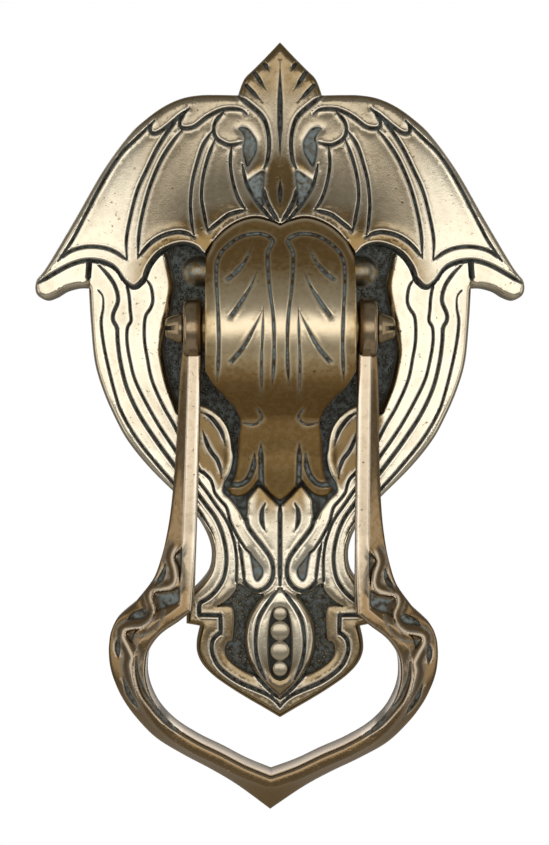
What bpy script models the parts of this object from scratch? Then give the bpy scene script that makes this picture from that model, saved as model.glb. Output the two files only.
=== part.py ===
"""Cast-brass door knocker: a winged backplate, a hinge barrel and a heart-shaped ring hung on a pin.

Frame: metres, +Z up, +X to the right as seen from the front, and the front faces -Y.
The origin lies on the flat back of the plate, straight behind the pivot pin, so the door begins at y = 0.
A height in this file is measured from that back towards the viewer, so height h lies at y = -h.
"""

import math

import bmesh
import bpy
from mathutils import Matrix, Vector

MM = 0.001

# Reach from the pin that the outlines below are stretched to
WING_SPAN = 121.2 * MM  # across the two wing tips
CREST_RISE = 71.2 * MM  # up to the crest's point
RING_DROP = 118.6 * MM  # down to the ring's point; the plate's tail and tongue follow
WING_ROOT = 30.0 * MM  # nearer the pin than these three, the barrel and its pocket keep their size
CREST_ROOT = 30.0 * MM
TAIL_ROOT = 16.0 * MM

# Backplate
PLATE_HEIGHT = 6.0 * MM  # straps, tongue and the shoulders that the ring strikes
GROUND_HEIGHT = 3.0 * MM  # sunk ground round the barrel
TONGUE_GROUND_HEIGHT = 3.8 * MM  # sunk ground beside the pod
WING_HEIGHT = 7.4 * MM  # of the wings' lower part
WING_LIFT = 2.3 * MM  # rise of the wings and the crest's foot towards the barrel
WING_LIFT_START = 20.0 * MM  # where that rise is greatest, from a point just above the pin
WING_LIFT_RUN = 11.0 * MM
WING_FALL = 2.8 * MM  # the wings lean back towards their upper rim
WING_FALL_START = 20.0 * MM  # above the pin
WING_FALL_RUN = 45.0 * MM
ROOF_STEP = 6.0 * MM  # facets of the wings' curved front
POD_HEIGHT = 7.4 * MM
CAVITY_HEIGHT = 5.3 * MM  # floor under the pod's pearls
PEARL_RISE = 1.3 * MM
PEARL_SIDES = 14
GROOVE_WIDTH = 1.0 * MM
GROOVE_DEPTH = 0.8 * MM
RECESS_DEPTH = 1.2 * MM
STOP_HEIGHT = 7.2 * MM  # cast stop lugs above the eyes
STOP_DIAMETER = 5.0 * MM
STOP_RISE = 14.5 * MM  # lug centre above the pin
EDGE_DRAFT = 0.7 * MM
EDGE_ROUND = 0.9 * MM
POD_ROUND = 2.0 * MM
NARROW_SHARE = 0.3  # most of a narrow place that an edge round may take from one side

# Hinge barrel
BARREL_WIDTH = 36.0 * MM
BARREL_RADIUS = 16.5 * MM  # about the pin
BARREL_SIDE_WALL = 3.5 * MM
BARREL_FRONT_WALL = 4.5 * MM
BARREL_WEB = 10.0 * MM  # solid middle that takes the two screws
FEATHER_WIDTH = 1.4 * MM  # cut strokes on the barrel
FEATHER_DEPTH = 0.7 * MM
PIN_AXIS_HEIGHT = 11.0 * MM
SEAT_GAP = 0.3 * MM  # between pieces that touch

# Pivot
PIN_DIAMETER = 5.0 * MM
PIN_CLEARANCE = 0.3 * MM
EYE_DIAMETER = 14.8 * MM
EYE_THICKNESS = 4.4 * MM
WASHER_THICKNESS = 0.6 * MM
WASHER_DIAMETER = 9.0 * MM
CAP_DIAMETER = 7.8 * MM
CAP_LENGTH = 4.2 * MM
CAP_END_DIAMETER = 4.6 * MM
CAP_END_WALL = 1.6 * MM
CAP_SIDES = 16
CAP_SLOT = 1.0 * MM
POCKET_ROOM = 1.0 * MM  # from a cap's end to the strap beside it

# Knocker
KNOCKER_LEAN = math.radians(1.2)  # the ring hangs a little to the left
ARM_BACK = 8.2 * MM
ARM_FRONT = 13.6 * MM
ARM_FACE = 3.2 * MM  # flat front of the arm, beside its chamfer
ARM_CHAMFER = 2.6 * MM
STRIKE_GAP = 0.4 * MM
RING_FRONT = 17.2 * MM
RING_FACE = 3.0 * MM
RING_CHAMFER = 4.8 * MM
EDGE_SOFTENING = 0.6 * MM

# Fixings
DOOR_THICKNESS = 44.0 * MM
STUD_DIAMETER = 6.0 * MM
UPPER_STUD_RISE = 40.0 * MM  # above the pin
LOWER_STUD_DROP = 57.0 * MM  # below the pin
STUD_SEAT = 4.0 * MM  # depth of the tapped hole in the plate
STUD_SPARE = 4.0 * MM  # stud left beyond its nut
THREAD_CLEARANCE = 0.3 * MM
NUT_ACROSS_FLATS = 11.0 * MM
NUT_THICKNESS = 5.0 * MM
DOOR_WASHER_DIAMETER = 20.0 * MM
DOOR_WASHER_THICKNESS = 1.8 * MM
SCREW_DIAMETER = 4.0 * MM
SCREW_HEAD_DIAMETER = 7.6 * MM
SCREW_HEAD_HEIGHT = 2.0 * MM
SCREW_LENGTH = 11.0 * MM
SCREW_OFFSET = 10.0 * MM  # above and below the pin
SCREW_SLOT = 0.9 * MM
SCREW_SLOT_DEPTH = 0.8 * MM

# How finely curves are cut into chords
PLATE_CHORD_COUNT = 2
RING_CHORD_COUNT = 3
PROFILE_CHORD_COUNT = 4
ROUND_SIDES = 32

# Stations across the pin, from the middle outwards
BARREL_SIDE = BARREL_WIDTH / 2
ARM_INSIDE = BARREL_SIDE + WASHER_THICKNESS + 2 * SEAT_GAP
ARM_OUTSIDE = ARM_INSIDE + EYE_THICKNESS
CAP_START = ARM_OUTSIDE + SEAT_GAP
CAP_END = CAP_START + CAP_LENGTH
POCKET_SIDE = CAP_END + POCKET_ROOM

# Right half of the plate's outline in millimetres (across, up from the pin). Runs meet at corners.
PLATE_RUNS = [
    [(0, 71.2), (3.6, 67.4), (6.6, 64.4), (9.0, 61.9), (10.5, 58.0)],
    [
        (10.5, 58.0), (15.5, 58.1), (20.0, 58.0), (24.4, 57.2), (28.9, 55.2), (33.4, 52.0), (37.6, 48.0),
        (43.9, 39.4), (51.0, 27.1), (58.0, 15.4), (60.6, 11.9), (60.6, 8.6), (58.2, 7.0), (55.6, 7.7), (53.0, 9.2),
        (50.0, 10.0), (47.6, 10.0),
    ],
    [
        (47.6, 10.0), (47.2, 2.0), (46.3, -7.9), (44.3, -15.1), (41.4, -21.9), (38.0, -28.1), (32.5, -34.9),
        (24.5, -42.9), (20.0, -48.1), (17.4, -54.0), (17.5, -59.4), (19.8, -63.1), (23.5, -66.6),
    ],
    [(23.5, -66.6), (23.5, -73.8)],
    [(23.5, -73.8), (20.1, -74.4)],
    [
        (20.1, -74.4), (20.9, -78.1), (20.8, -81.1), (19.4, -84.1), (16.5, -87.1), (12.3, -90.1), (7.8, -92.9),
        (4.0, -95.1), (0, -97.5),
    ],
]

# Right half of the raised wings and crest, within the plate's rim: upper edges, the lower edge with two scallops
# and the blunt cusp between them, and the edge round the barrel's top
WING_RUNS = [
    [(0, 68.2), (2.4, 65.8), (5.2, 63.0), (7.5, 60.6), (8.9, 56.2)],
    [
        (8.9, 56.2), (15.4, 56.0), (19.8, 55.9), (23.7, 55.2), (27.8, 53.3), (32.0, 50.3), (35.9, 46.6), (42.1, 38.2),
        (49.2, 26.0), (54.9, 16.6), (56.4, 13.6),
    ],
    [
        (56.4, 13.6), (54.4, 14.5), (51.3, 15.9), (47.7, 16.8), (43.7, 16.4), (40.6, 14.8), (38.6, 12.0),
        (36.2, 10.2), (33.9, 11.8), (32.2, 15.6), (29.4, 18.8), (25.0, 20.6), (21.5, 20.2), (18.9, 18.4),
    ],
    [(18.9, 18.4), (17.0, 21.6)],
    [(17.0, 21.6), (13.7, 24.9), (9.8, 27.1), (6.0, 27.9), (2.2, 27.1), (0, 26.1)],
]

# Barrel and tail leaf seen from the front, in runs from the top middle to the leaf's point
BARREL_TOP = [(0, 25.4), (2.4, 26.4), (6.0, 27.2), (9.6, 26.4), (13.2, 24.3), (16.3, 21.2)]
BARREL_FOOT = [(15.9, -14.1), (13.6, -16.6), (10.9, -19.9), (9.7, -23.4)]
BARREL_SHOULDER_RISE = 17.0
BARREL_SHOULDER_DROP = -10.4
TAIL_RUNS = [
    [(9.7, -23.4), (10.4, -28.0), (10.6, -32.4), (11.2, -36.4), (13.1, -40.0)],
    [(13.1, -40.0), (10.7, -41.9), (8.6, -41.4), (6.7, -39.5), (5.4, -37.8)],
    [(5.4, -37.8), (2.2, -41.4), (0, -43.0)],
]

# Cut lines on the barrel: the frame line, which runs on down the middle, and three feathers
BARREL_FRAME_LINE = [
    (15.2, -12.0), (14.7, -4.5), (14.9, 4.0), (15.4, 12.0), (15.1, 16.7), (12.9, 20.0), (9.0, 22.4), (4.6, 22.8),
    (2.2, 21.0), (3.1, 17.7), (2.75, 10.5), (1.75, 2.0), (1.6, -6.6), (2.0, -13.0),
]
BARREL_FEATHERS = [
    [(6.9, 20.0), (8.1, 17.0), (9.8, 14.3), (12.6, 11.6)],
    [(5.4, 14.4), (6.9, 10.4), (9.1, 6.5), (11.7, 2.8)],
    [(4.1, 4.6), (6.2, 0.2), (8.6, -4.2), (11.7, -8.0)],
]

# Height of the barrel's blend into the wings and into the tail leaf, as (up from the pin, height)
BLEND_TOP = [(29.0, 8.9), (26.5, 9.4), (22.6, 11.6), (17.6, 16.9)]
BLEND_FOOT = [(-14.6, 19.8), (-18.8, 15.0), (-22.8, 11.0), (-28.0, 8.5), (-36.0, 7.2), (-45.0, 5.2)]
BARREL_ARC = (40, 20, 0, -20, -40)  # degrees from straight ahead

# Sunk ground beside the barrel: its top and outer edge as (step in from the pocket's side, up), and its inner edge
POCKET_TOP = [(7.6, 29.0), (0.6, 22.0)]
POCKET_STRAP = [(1.6, 16.0), (2.6, 10.6), (1.9, 5.6), (0.8, 0.0), (0, -5.0), (0.4, -8.6), (1.8, -14.6), (4.4, -20.6)]
POCKET_LEAF = [(20.0, -18.9), (17.1, -20.2), (14.2, -23.0), (12.6, -26.4), (11.9, -30.0)]
POCKET_TAIL = [(11.9, -30.0), (11.8, -31.9), (12.9, -36.4), (14.4, -39.9)]
POCKET_POINT = [(14.4, -39.9), (12.9, -42.1), (10.2, -45.6), (8.6, -48.0), (8.0, -44.5), (6.9, -41.2), (5.2, -39.2)]
POCKET_TIP = [(5.2, -39.2), (3.2, -41.2), (1.6, -42.8), (0, -44.4)]

# Pod on the tongue, its lens line, the cavity and the pearls in it as (up, radius), and the sunk ground beside it
POD_RUN = [
    (0, -63.9), (4.6, -66.7), (6.4, -69.0), (8.2, -72.2), (8.9, -75.6), (8.9, -78.1), (8.3, -81.6), (7.0, -84.9),
    (5.0, -87.6), (0, -92.4),
]
POD_LENS = [
    (2.3, -67.2), (4.0, -69.6), (5.4, -72.4), (6.0, -75.6), (6.1, -78.9), (5.7, -81.9), (4.9, -84.6), (3.6, -87.4),
]
POD_CAVITY = [(0, -68.8), (2.5, -71.4), (3.2, -78.4), (2.6, -85.4), (0, -87.7)]
PEARLS = [(-70.9, 1.5), (-75.3, 2.2), (-80.3, 2.2), (-84.8, 1.6)]
TONGUE_POCKET = [
    (10.9, -63.4), (8.1, -65.1), (5.4, -66.4), (8.3, -69.6), (9.6, -73.1), (9.9, -77.4), (9.2, -81.9), (7.2, -85.6),
    (10.4, -84.7), (13.4, -82.4), (13.8, -79.4), (11.9, -77.0), (11.9, -69.9), (15.6, -69.3), (12.4, -66.6),
]

# Main cut lines of the plate and its small deep recesses
WING_LINES = [
    [(31.4, 50.6), (34.4, 48.0), (39.3, 43.1), (43.3, 36.9), (47.8, 28.4), (51.3, 21.7), (53.9, 18.0)],
    [(37.8, 19.0), (37.0, 27.1), (35.3, 33.8), (33.0, 39.1), (29.9, 45.4), (26.6, 50.2)],
    [(34.9, 19.6), (33.9, 28.4), (32.1, 35.1), (29.5, 41.4), (26.8, 45.8), (24.7, 48.4)],
    [(17.6, 47.6), (19.0, 45.4), (20.5, 40.9), (21.6, 36.4), (22.1, 31.5), (21.8, 26.4)],
    [(18.2, 26.0), (19.4, 32.4), (19.0, 37.3), (17.8, 42.2), (16.5, 45.6)],
    [(52.4, 18.6), (47.8, 20.1), (43.7, 19.9), (40.6, 18.8), (39.2, 18.0)],
    [(34.0, 18.8), (32.1, 20.8), (29.0, 22.8), (25.4, 23.7), (22.8, 23.3)],
]
STRAP_LINES = [
    [
        (44.0, 7.6), (43.8, 5.1), (44.3, 1.6), (43.8, -3.4), (42.7, -9.0), (40.9, -16.2), (39.2, -21.1),
        (35.4, -27.6), (30.4, -33.9), (26.9, -37.9), (20.9, -44.4), (18.2, -48.4), (16.7, -51.1),
    ],
    [
        (42.5, 13.1), (40.1, 6.9), (41.3, 3.6), (40.2, -3.4), (39.5, -8.6), (37.9, -14.9), (34.9, -21.4),
        (30.9, -27.6), (26.9, -33.1), (20.7, -40.9), (16.2, -46.9), (14.7, -50.1), (13.4, -56.4), (14.2, -62.4),
        (17.7, -66.9),
    ],
    [
        (38.3, 11.7), (37.1, 4.4), (37.9, -3.4), (37.1, -8.3), (35.7, -13.4), (31.9, -20.9), (27.9, -27.4),
        (20.7, -37.4), (16.2, -43.6), (12.7, -49.1), (11.4, -53.1), (10.8, -59.6),
    ],
    [
        (32.0, 10.4), (31.5, 7.1), (33.4, 2.6), (33.6, -2.6), (32.9, -7.3), (31.7, -13.0), (28.9, -19.4),
        (26.2, -24.1), (20.7, -34.2), (17.4, -37.4), (16.2, -40.9),
    ],
    [(16.8, -77.9), (16.7, -81.6), (15.4, -84.1), (12.9, -86.4), (9.7, -88.4), (6.2, -89.9), (2.9, -91.4)],
    [(6.4, -51.6), (4.2, -54.4), (2.4, -57.1), (1.7, -59.9), (2.1, -62.2)],
]
RECESSES = [
    [(10.3, 49.4), (7.9, 49.4), (5.8, 46.1), (5.9, 43.6), (8.1, 39.9), (9.2, 43.9), (8.8, 46.9)],
    [(8.1, 36.4), (4.2, 38.9), (4.2, 34.4), (3.9, 30.6), (4.9, 30.1), (7.7, 34.9)],
    [(7.7, -55.3), (4.9, -58.8), (4.2, -60.2), (4.5, -61.8), (5.6, -62.9), (6.4, -62.1), (7.2, -57.6)],
]

# Knocker stations: inner edge (step out from the arm's inside, up) and outer edge, in millimetres
ARM_STATIONS = [
    ((0, -4.0), (4.4, -4.0)),
    ((0, -12.0), (5.2, -12.0)),
    ((0.1, -24.0), (5.6, -24.0)),
    ((0.2, -36.0), (6.1, -35.7)),
    ((0.3, -46.0), (6.8, -45.0)),
    ((0.4, -53.0), (7.7, -51.5)),
    ((0.5, -59.0), (8.9, -57.0)),
    ((0.6, -64.4), (10.9, -62.6)),
    ((0.8, -69.4), (15.0, -68.2)),
]
RING_STATIONS = [
    ((0.8, -69.4), (15.0, -68.2)),
    ((4.2, -72.2), (19.2, -72.0)),
    ((7.6, -74.6), (20.8, -75.2)),
    ((9.8, -76.9), (21.3, -78.4)),
    ((11.4, -79.8), (21.3, -81.2)),
    ((11.9, -82.8), (20.9, -84.2)),
    ((11.8, -86.2), (19.9, -87.4)),
    ((10.7, -90.0), (17.9, -91.6)),
    ((8.4, -94.0), (14.6, -96.2)),
    ((4.4, -97.9), (9.4, -101.4)),
    ((-1.2, -101.3), (2.5, -105.5)),
    ((-7.0, -104.0), (-4.4, -109.0)),
    ((-13.0, -107.0), (-11.0, -112.8)),
]
RING_POINT = ((0, -109.4), (0, -118.6))  # on the knocker's own centre line


def clear_scene():
    for item in list(bpy.data.objects):
        bpy.data.objects.remove(item, do_unlink=True)


def metal(name, colour, roughness, metallic=1.0):
    material = bpy.data.materials.new(name)
    material.use_nodes = True
    shader = material.node_tree.nodes["Principled BSDF"]
    shader.inputs["Base Color"].default_value = (*colour, 1.0)
    shader.inputs["Metallic"].default_value = metallic
    shader.inputs["Roughness"].default_value = roughness
    material.diffuse_color = (*colour, 1.0)
    return material


def smooth_run(points, steps):
    """Catmull-Rom curve through the points, with the given number of chords to a span."""
    held = [points[0], *points, points[-1]]
    curve = []
    for a, b, c, d in zip(held, held[1:], held[2:], held[3:]):
        for step in range(steps):
            t = step / steps
            curve.append(tuple(
                0.5 * (2 * q + (r - p) * t + (2 * p - 5 * q + 4 * r - s) * t**2 + (3 * q - p - 3 * r + s) * t**3)
                for p, q, r, s in zip(a, b, c, d)
            ))
    return [*curve, tuple(points[-1])]


def smooth_runs(runs, steps):
    """One line from runs that meet at corners."""
    line = []
    for run in runs:
        line += smooth_run(run, steps if len(run) > 2 else 1)[:-1]
    return [*line, tuple(runs[-1][-1])]


def stretched(value, root, drawn_reach, reach):
    """A drawn distance in metres, with what lies beyond the root stretched to the reach."""
    if value <= root:
        return value
    return root + (value - root) * (reach - root) / (drawn_reach - root)


def placed_up(up):
    """A drawn height above or below the pin, in metres."""
    if up > 0:
        return stretched(up * MM, CREST_ROOT, PLATE_RUNS[0][0][1] * MM, CREST_RISE)
    return -stretched(-up * MM, TAIL_ROOT, -RING_POINT[1][1] * MM, RING_DROP)


def placed_across(across):
    drawn_tip = max(x for x, _ in PLATE_RUNS[1])
    return stretched(across * MM, WING_ROOT, drawn_tip * MM, WING_SPAN / 2)


def placed(points):
    """Drawn (across, up) points in metres."""
    return [(placed_across(across), placed_up(up)) for across, up in points]


def both_halves(right_half):
    """Closed outline from its right half, which starts and ends on the centre line."""
    left_half = [(-x, z) for x, z in reversed(right_half[1:-1])]
    return [*right_half, *left_half]


def mirrored(outline):
    return [(-x, z) for x, z in reversed(outline)]


def room_inside(outline, index, normal):
    """Distance from a corner along the inward normal to the far side of the outline."""
    here = Vector(outline[index])
    nearest = math.inf
    for i, start in enumerate(outline):
        j = (i + 1) % len(outline)
        if index in (i, j):
            continue
        edge = Vector(outline[j]) - Vector(start)
        across = normal.cross(edge)
        if abs(across) < 1e-12:
            continue
        offset = Vector(start) - here
        along = offset.cross(edge) / across
        share = offset.cross(normal) / across
        if along > 0 and 0 <= share <= 1:
            nearest = min(nearest, along)
    return nearest


def inset(outline, distance):
    """The outline, clockwise seen from the front, moved inwards, and less so where it is narrow."""
    moved = []
    count = len(outline)
    for i, here in enumerate(outline):
        first = (Vector(here) - Vector(outline[i - 1])).normalized()
        second = (Vector(outline[(i + 1) % count]) - Vector(here)).normalized()
        normal = Vector((first.y + second.y, -first.x - second.x)).normalized()
        reach = max(normal.dot(Vector((first.y, -first.x))), 0.5)
        step = min(distance / reach, NARROW_SHARE * room_inside(outline, i, normal))
        moved.append(tuple(Vector(here) + normal * step))
    return moved


def new_object(name, mesh_data, material=None, smooth_angle=35):
    bmesh.ops.recalc_face_normals(mesh_data, faces=mesh_data.faces)
    mesh = bpy.data.meshes.new(name)
    mesh_data.to_mesh(mesh)
    mesh_data.free()
    if material:
        mesh.materials.append(material)
    mesh.shade_smooth()
    mesh.set_sharp_from_angle(angle=math.radians(smooth_angle))
    item = bpy.data.objects.new(name, mesh)
    bpy.context.scene.collection.objects.link(item)
    return item


def helper(item):
    item.hide_render = True
    item.display_type = "WIRE"
    return item


def boolean(target, tool, operation):
    modifier = target.modifiers.new(f"{operation.lower()} {tool.name}", "BOOLEAN")
    modifier.operation = operation
    modifier.solver = "EXACT"
    modifier.object = helper(tool)


def skinned(name, rings, material=None, closed_ends=True):
    """Solid through rings of points with equal counts."""
    data = bmesh.new()
    rows = [[data.verts.new(point) for point in ring] for ring in rings]
    for low, high in zip(rows, rows[1:]):
        for i in range(len(low)):
            j = (i + 1) % len(low)
            data.faces.new((low[i], low[j], high[j], high[i]))
    if closed_ends:
        data.faces.new(rows[0])
        data.faces.new(rows[-1])
    else:
        for i in range(len(rows[0])):
            j = (i + 1) % len(rows[0])
            data.faces.new((rows[-1][i], rows[-1][j], rows[0][j], rows[0][i]))
    return new_object(name, data, material)


def raised(name, outline, steps, material=None):
    """Solid on an outline seen from the front, through (inset, height) steps from its foot to its top."""
    rings = []
    for distance, height in steps:
        edge = inset(outline, distance) if distance else outline
        rings.append([(x, -height, z) for x, z in edge])
    return skinned(name, rings, material)


def rounded_steps(start, foot, top, radius):
    """(inset, height) steps of a wall that ends in a quarter round."""
    turned = [math.radians(angle) for angle in (0, 30, 60, 90)]
    arc = [(start + radius * (1 - math.cos(a)), top - radius * (1 - math.sin(a))) for a in turned]
    return [(start, foot), *arc]


def turned(name, profile, sides, material=None, through=False, first_angle=0.0):
    """Solid of revolution about its own X axis from (along, radius) points; through leaves the bore open."""
    rings = []
    for along, radius in profile:
        angles = [first_angle + 2 * math.pi * i / sides for i in range(sides)]
        rings.append([(along, radius * math.cos(a), radius * math.sin(a)) for a in angles])
    return skinned(name, rings, material, closed_ends=not through)


def rod(name, radius, start, end, material=None, sides=ROUND_SIDES):
    return turned(name, [(start, radius), (end, radius)], sides, material)


def block(name, low, high):
    """Box between two corners."""
    ring = [(low[0], low[2]), (low[0], high[2]), (high[0], high[2]), (high[0], low[2])]
    return skinned(name, [[(x, y, z) for x, z in ring] for y in (low[1], high[1])])


def facing_back(item, x, height, z):
    """Places a turned piece so that its own +X points back through the door."""
    item.matrix_world = Matrix.Translation((x, -height, z)) @ Matrix.Rotation(math.radians(90), 4, "Z")
    return item


def facing_front(item, x, height, z):
    item.matrix_world = Matrix.Translation((x, -height, z)) @ Matrix.Rotation(math.radians(-90), 4, "Z")
    return item


def on_pin(item):
    """Puts a piece that was made about the X axis on the pin's axis."""
    item.location = (0, -PIN_AXIS_HEIGHT, 0)
    return item


def barrel_half():
    side = BARREL_SIDE / MM
    sides_run = [BARREL_TOP[-1], (side, BARREL_SHOULDER_RISE)]
    lower_run = [(side, BARREL_SHOULDER_DROP), *BARREL_FOOT]
    runs = [BARREL_TOP, sides_run, [sides_run[-1], lower_run[0]], lower_run, *TAIL_RUNS]
    return placed(smooth_runs(runs, PLATE_CHORD_COUNT))


def barrel_profile():
    """Side view of the barrel's front as (up, height), from the wings over the barrel to the leaf's point."""
    arc = []
    for degrees in BARREL_ARC:
        angle = math.radians(degrees)
        arc.append((BARREL_RADIUS * math.sin(angle), PIN_AXIS_HEIGHT + BARREL_RADIUS * math.cos(angle)))
    blends = [[(placed_up(up), height * MM) for up, height in blend] for blend in (BLEND_TOP, BLEND_FOOT)]
    return smooth_run([*blends[0], *arc, *blends[1]], PROFILE_CHORD_COUNT)


def pocket_outline():
    side = POCKET_SIDE / MM
    corner, shoulder, *strap = [(side - step, up) for step, up in [*POCKET_TOP, *POCKET_STRAP]]
    top = [(0, corner[1]), corner, shoulder, strap[0]]
    runs = [
        top[:2], top[1:3], top[2:], strap, [strap[-1], POCKET_LEAF[0]], POCKET_LEAF, POCKET_TAIL, POCKET_POINT,
        POCKET_TIP,
    ]
    return both_halves(placed(smooth_runs(runs, PLATE_CHORD_COUNT)))


def eased(share):
    """Eases from 0 to 1."""
    share = min(max(share, 0), 1)
    return share * share * (3 - 2 * share)


def wing_level(x, z):
    """Height of the wings' front: leaning back towards the upper rim, rising towards the barrel."""
    from_barrel = math.hypot(x * 3 / 4, z - WING_LIFT_START / 5)
    lift = WING_LIFT * math.exp(-((from_barrel - WING_LIFT_START) / WING_LIFT_RUN) ** 2)
    return WING_HEIGHT + lift - WING_FALL * eased((z - WING_FALL_START) / WING_FALL_RUN)


def wing_roof():
    """Body under the wings' curved front, wider and taller than the plate."""
    side = WING_SPAN / 2 + ROOF_STEP
    count = round(side / ROOF_STEP)
    across = [side * i / count for i in range(-count, count + 1)]
    top = CREST_RISE + ROOF_STEP
    rows = round(top / ROOF_STEP)
    rises = [-RING_DROP, *[top * i / rows for i in range(rows + 1)]]
    rings = [[(-side, MM, z), *[(x, -wing_level(x, z), z) for x in across], (side, MM, z)] for z in rises]
    roof = skinned("wing_roof", rings)
    data = bmesh.new()
    data.from_mesh(roof.data)
    bmesh.ops.triangulate(data, faces=data.faces)
    data.to_mesh(roof.data)
    data.free()
    return roof


def channel(name, line, width, depth, level):
    """Cutter for a groove along a line of points, below a surface whose height is level(x, z)."""
    rings = []
    for i, (x, z) in enumerate(line):
        ahead = Vector(line[min(i + 1, len(line) - 1)]) - Vector(line[max(i - 1, 0)])
        side = Vector((-ahead.y, ahead.x)).normalized() * width / 2
        floor = level(x, z) - depth
        corners = [(-NARROW_SHARE, floor), (NARROW_SHARE, floor), (1.5, floor + 2 * depth), (-1.5, floor + 2 * depth)]
        rings.append([(x + side.x * share, -height, z + side.y * share) for share, height in corners])
    return skinned(name, rings)


def cut_lines(target, kind, lines, width, depth, level):
    """Cuts drawn lines into both halves of a piece."""
    for index, points in enumerate(lines):
        line = placed(points)
        for name, edge in (("right", line), ("left", mirrored(line))):
            boolean(target, channel(f"{name}_{kind}_{index}", edge, width, depth, level), "DIFFERENCE")


def backplate(brass):
    outline = both_halves(placed(smooth_runs(PLATE_RUNS, PLATE_CHORD_COUNT)))
    steps = rounded_steps(EDGE_DRAFT, PLATE_HEIGHT - EDGE_ROUND, PLATE_HEIGHT, EDGE_ROUND)
    plate = raised("backplate", outline, [(0, 0), *steps[1:]], brass)
    above = 4 * PLATE_HEIGHT
    boolean(plate, raised("ground_cut", pocket_outline(), [(0, GROUND_HEIGHT), (0, above)]), "DIFFERENCE")
    pocket = placed(smooth_run([*TONGUE_POCKET, TONGUE_POCKET[0]], PLATE_CHORD_COUNT))[:-1]
    for name, edge in (("right", mirrored(pocket)), ("left", pocket)):
        tool = raised(f"{name}_tongue_cut", edge, [(0, TONGUE_GROUND_HEIGHT), (0, above)])
        boolean(plate, tool, "DIFFERENCE")
    wings = both_halves(placed(smooth_runs(WING_RUNS, PLATE_CHORD_COUNT)))
    boolean(plate, raised("wings", wings, [(0, GROUND_HEIGHT / 2), (0, WING_HEIGHT + WING_LIFT + MM)]), "UNION")
    boolean(plate, wing_roof(), "INTERSECT")
    pod = both_halves(placed(smooth_run(POD_RUN, PLATE_CHORD_COUNT)))
    pod_steps = rounded_steps(0, TONGUE_GROUND_HEIGHT / 2, POD_HEIGHT, POD_ROUND)
    boolean(plate, raised("pod", pod, pod_steps), "UNION")
    cavity = both_halves(placed(smooth_run(POD_CAVITY, PLATE_CHORD_COUNT)))
    boolean(plate, raised("pod_cavity", cavity, [(0, CAVITY_HEIGHT), (0, above)]), "DIFFERENCE")
    for index, (up, radius) in enumerate(PEARLS):
        levels = (-PEARL_RISE, PEARL_RISE / 3, PEARL_RISE)
        profile = [(CAVITY_HEIGHT + level, radius * MM * share) for level, share in zip(levels, (1, 1, 0.5))]
        pearl = turned(f"pearl_{index}", profile, PEARL_SIDES, first_angle=math.pi / PEARL_SIDES / 2)
        boolean(plate, facing_front(pearl, 0, 0, placed_up(up)), "UNION")
    cut_lines(plate, "wing_line", WING_LINES, GROOVE_WIDTH, GROOVE_DEPTH, wing_level)
    cut_lines(plate, "strap_line", STRAP_LINES, GROOVE_WIDTH, GROOVE_DEPTH, lambda x, z: PLATE_HEIGHT)
    cut_lines(plate, "pod_line", [POD_LENS], GROOVE_WIDTH, GROOVE_DEPTH, lambda x, z: POD_HEIGHT)
    for index, points in enumerate(RECESSES):
        outline = placed(smooth_run([*points, points[0]], 1))[:-1]
        levels = [wing_level(x, z) if z > 0 else PLATE_HEIGHT for x, z in outline]
        floor = sum(levels) / len(levels) - RECESS_DEPTH
        for name, edge in (("right", outline), ("left", mirrored(outline))):
            tool = raised(f"{name}_recess_{index}", edge, [(0, floor), (0, above)])
            boolean(plate, tool, "DIFFERENCE")
    eye_middle = (ARM_INSIDE + ARM_OUTSIDE) / 2
    for name, side in (("left", -1), ("right", 1)):
        lug_profile = [(GROUND_HEIGHT / 3, STOP_DIAMETER / 2), (STOP_HEIGHT - MM, STOP_DIAMETER / 2),
                       (STOP_HEIGHT, STOP_DIAMETER / 2 - MM)]
        lug = turned(f"{name}_stop", lug_profile, ROUND_SIDES // 2)
        boolean(plate, facing_front(lug, side * eye_middle, 0, STOP_RISE), "UNION")
    hole = STUD_DIAMETER / 2 + THREAD_CLEARANCE
    for name, z in stud_places():
        boolean(plate, facing_front(rod(f"{name}_stud_hole", hole, -MM, STUD_SEAT), 0, 0, z), "DIFFERENCE")
    for name, z in screw_places():
        boolean(plate, facing_front(screw_shape(f"{name}_screw_hole", THREAD_CLEARANCE), 0, 0, z), "DIFFERENCE")
    return plate


def level_at(surface, z):
    """Height of a side view, given as (up, height) from low to high, at one height above the pin."""
    for (low, first), (high, second) in zip(surface, surface[1:]):
        if low <= z <= high:
            return first + (second - first) * (z - low) / (high - low)
    return surface[-1][1]


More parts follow.
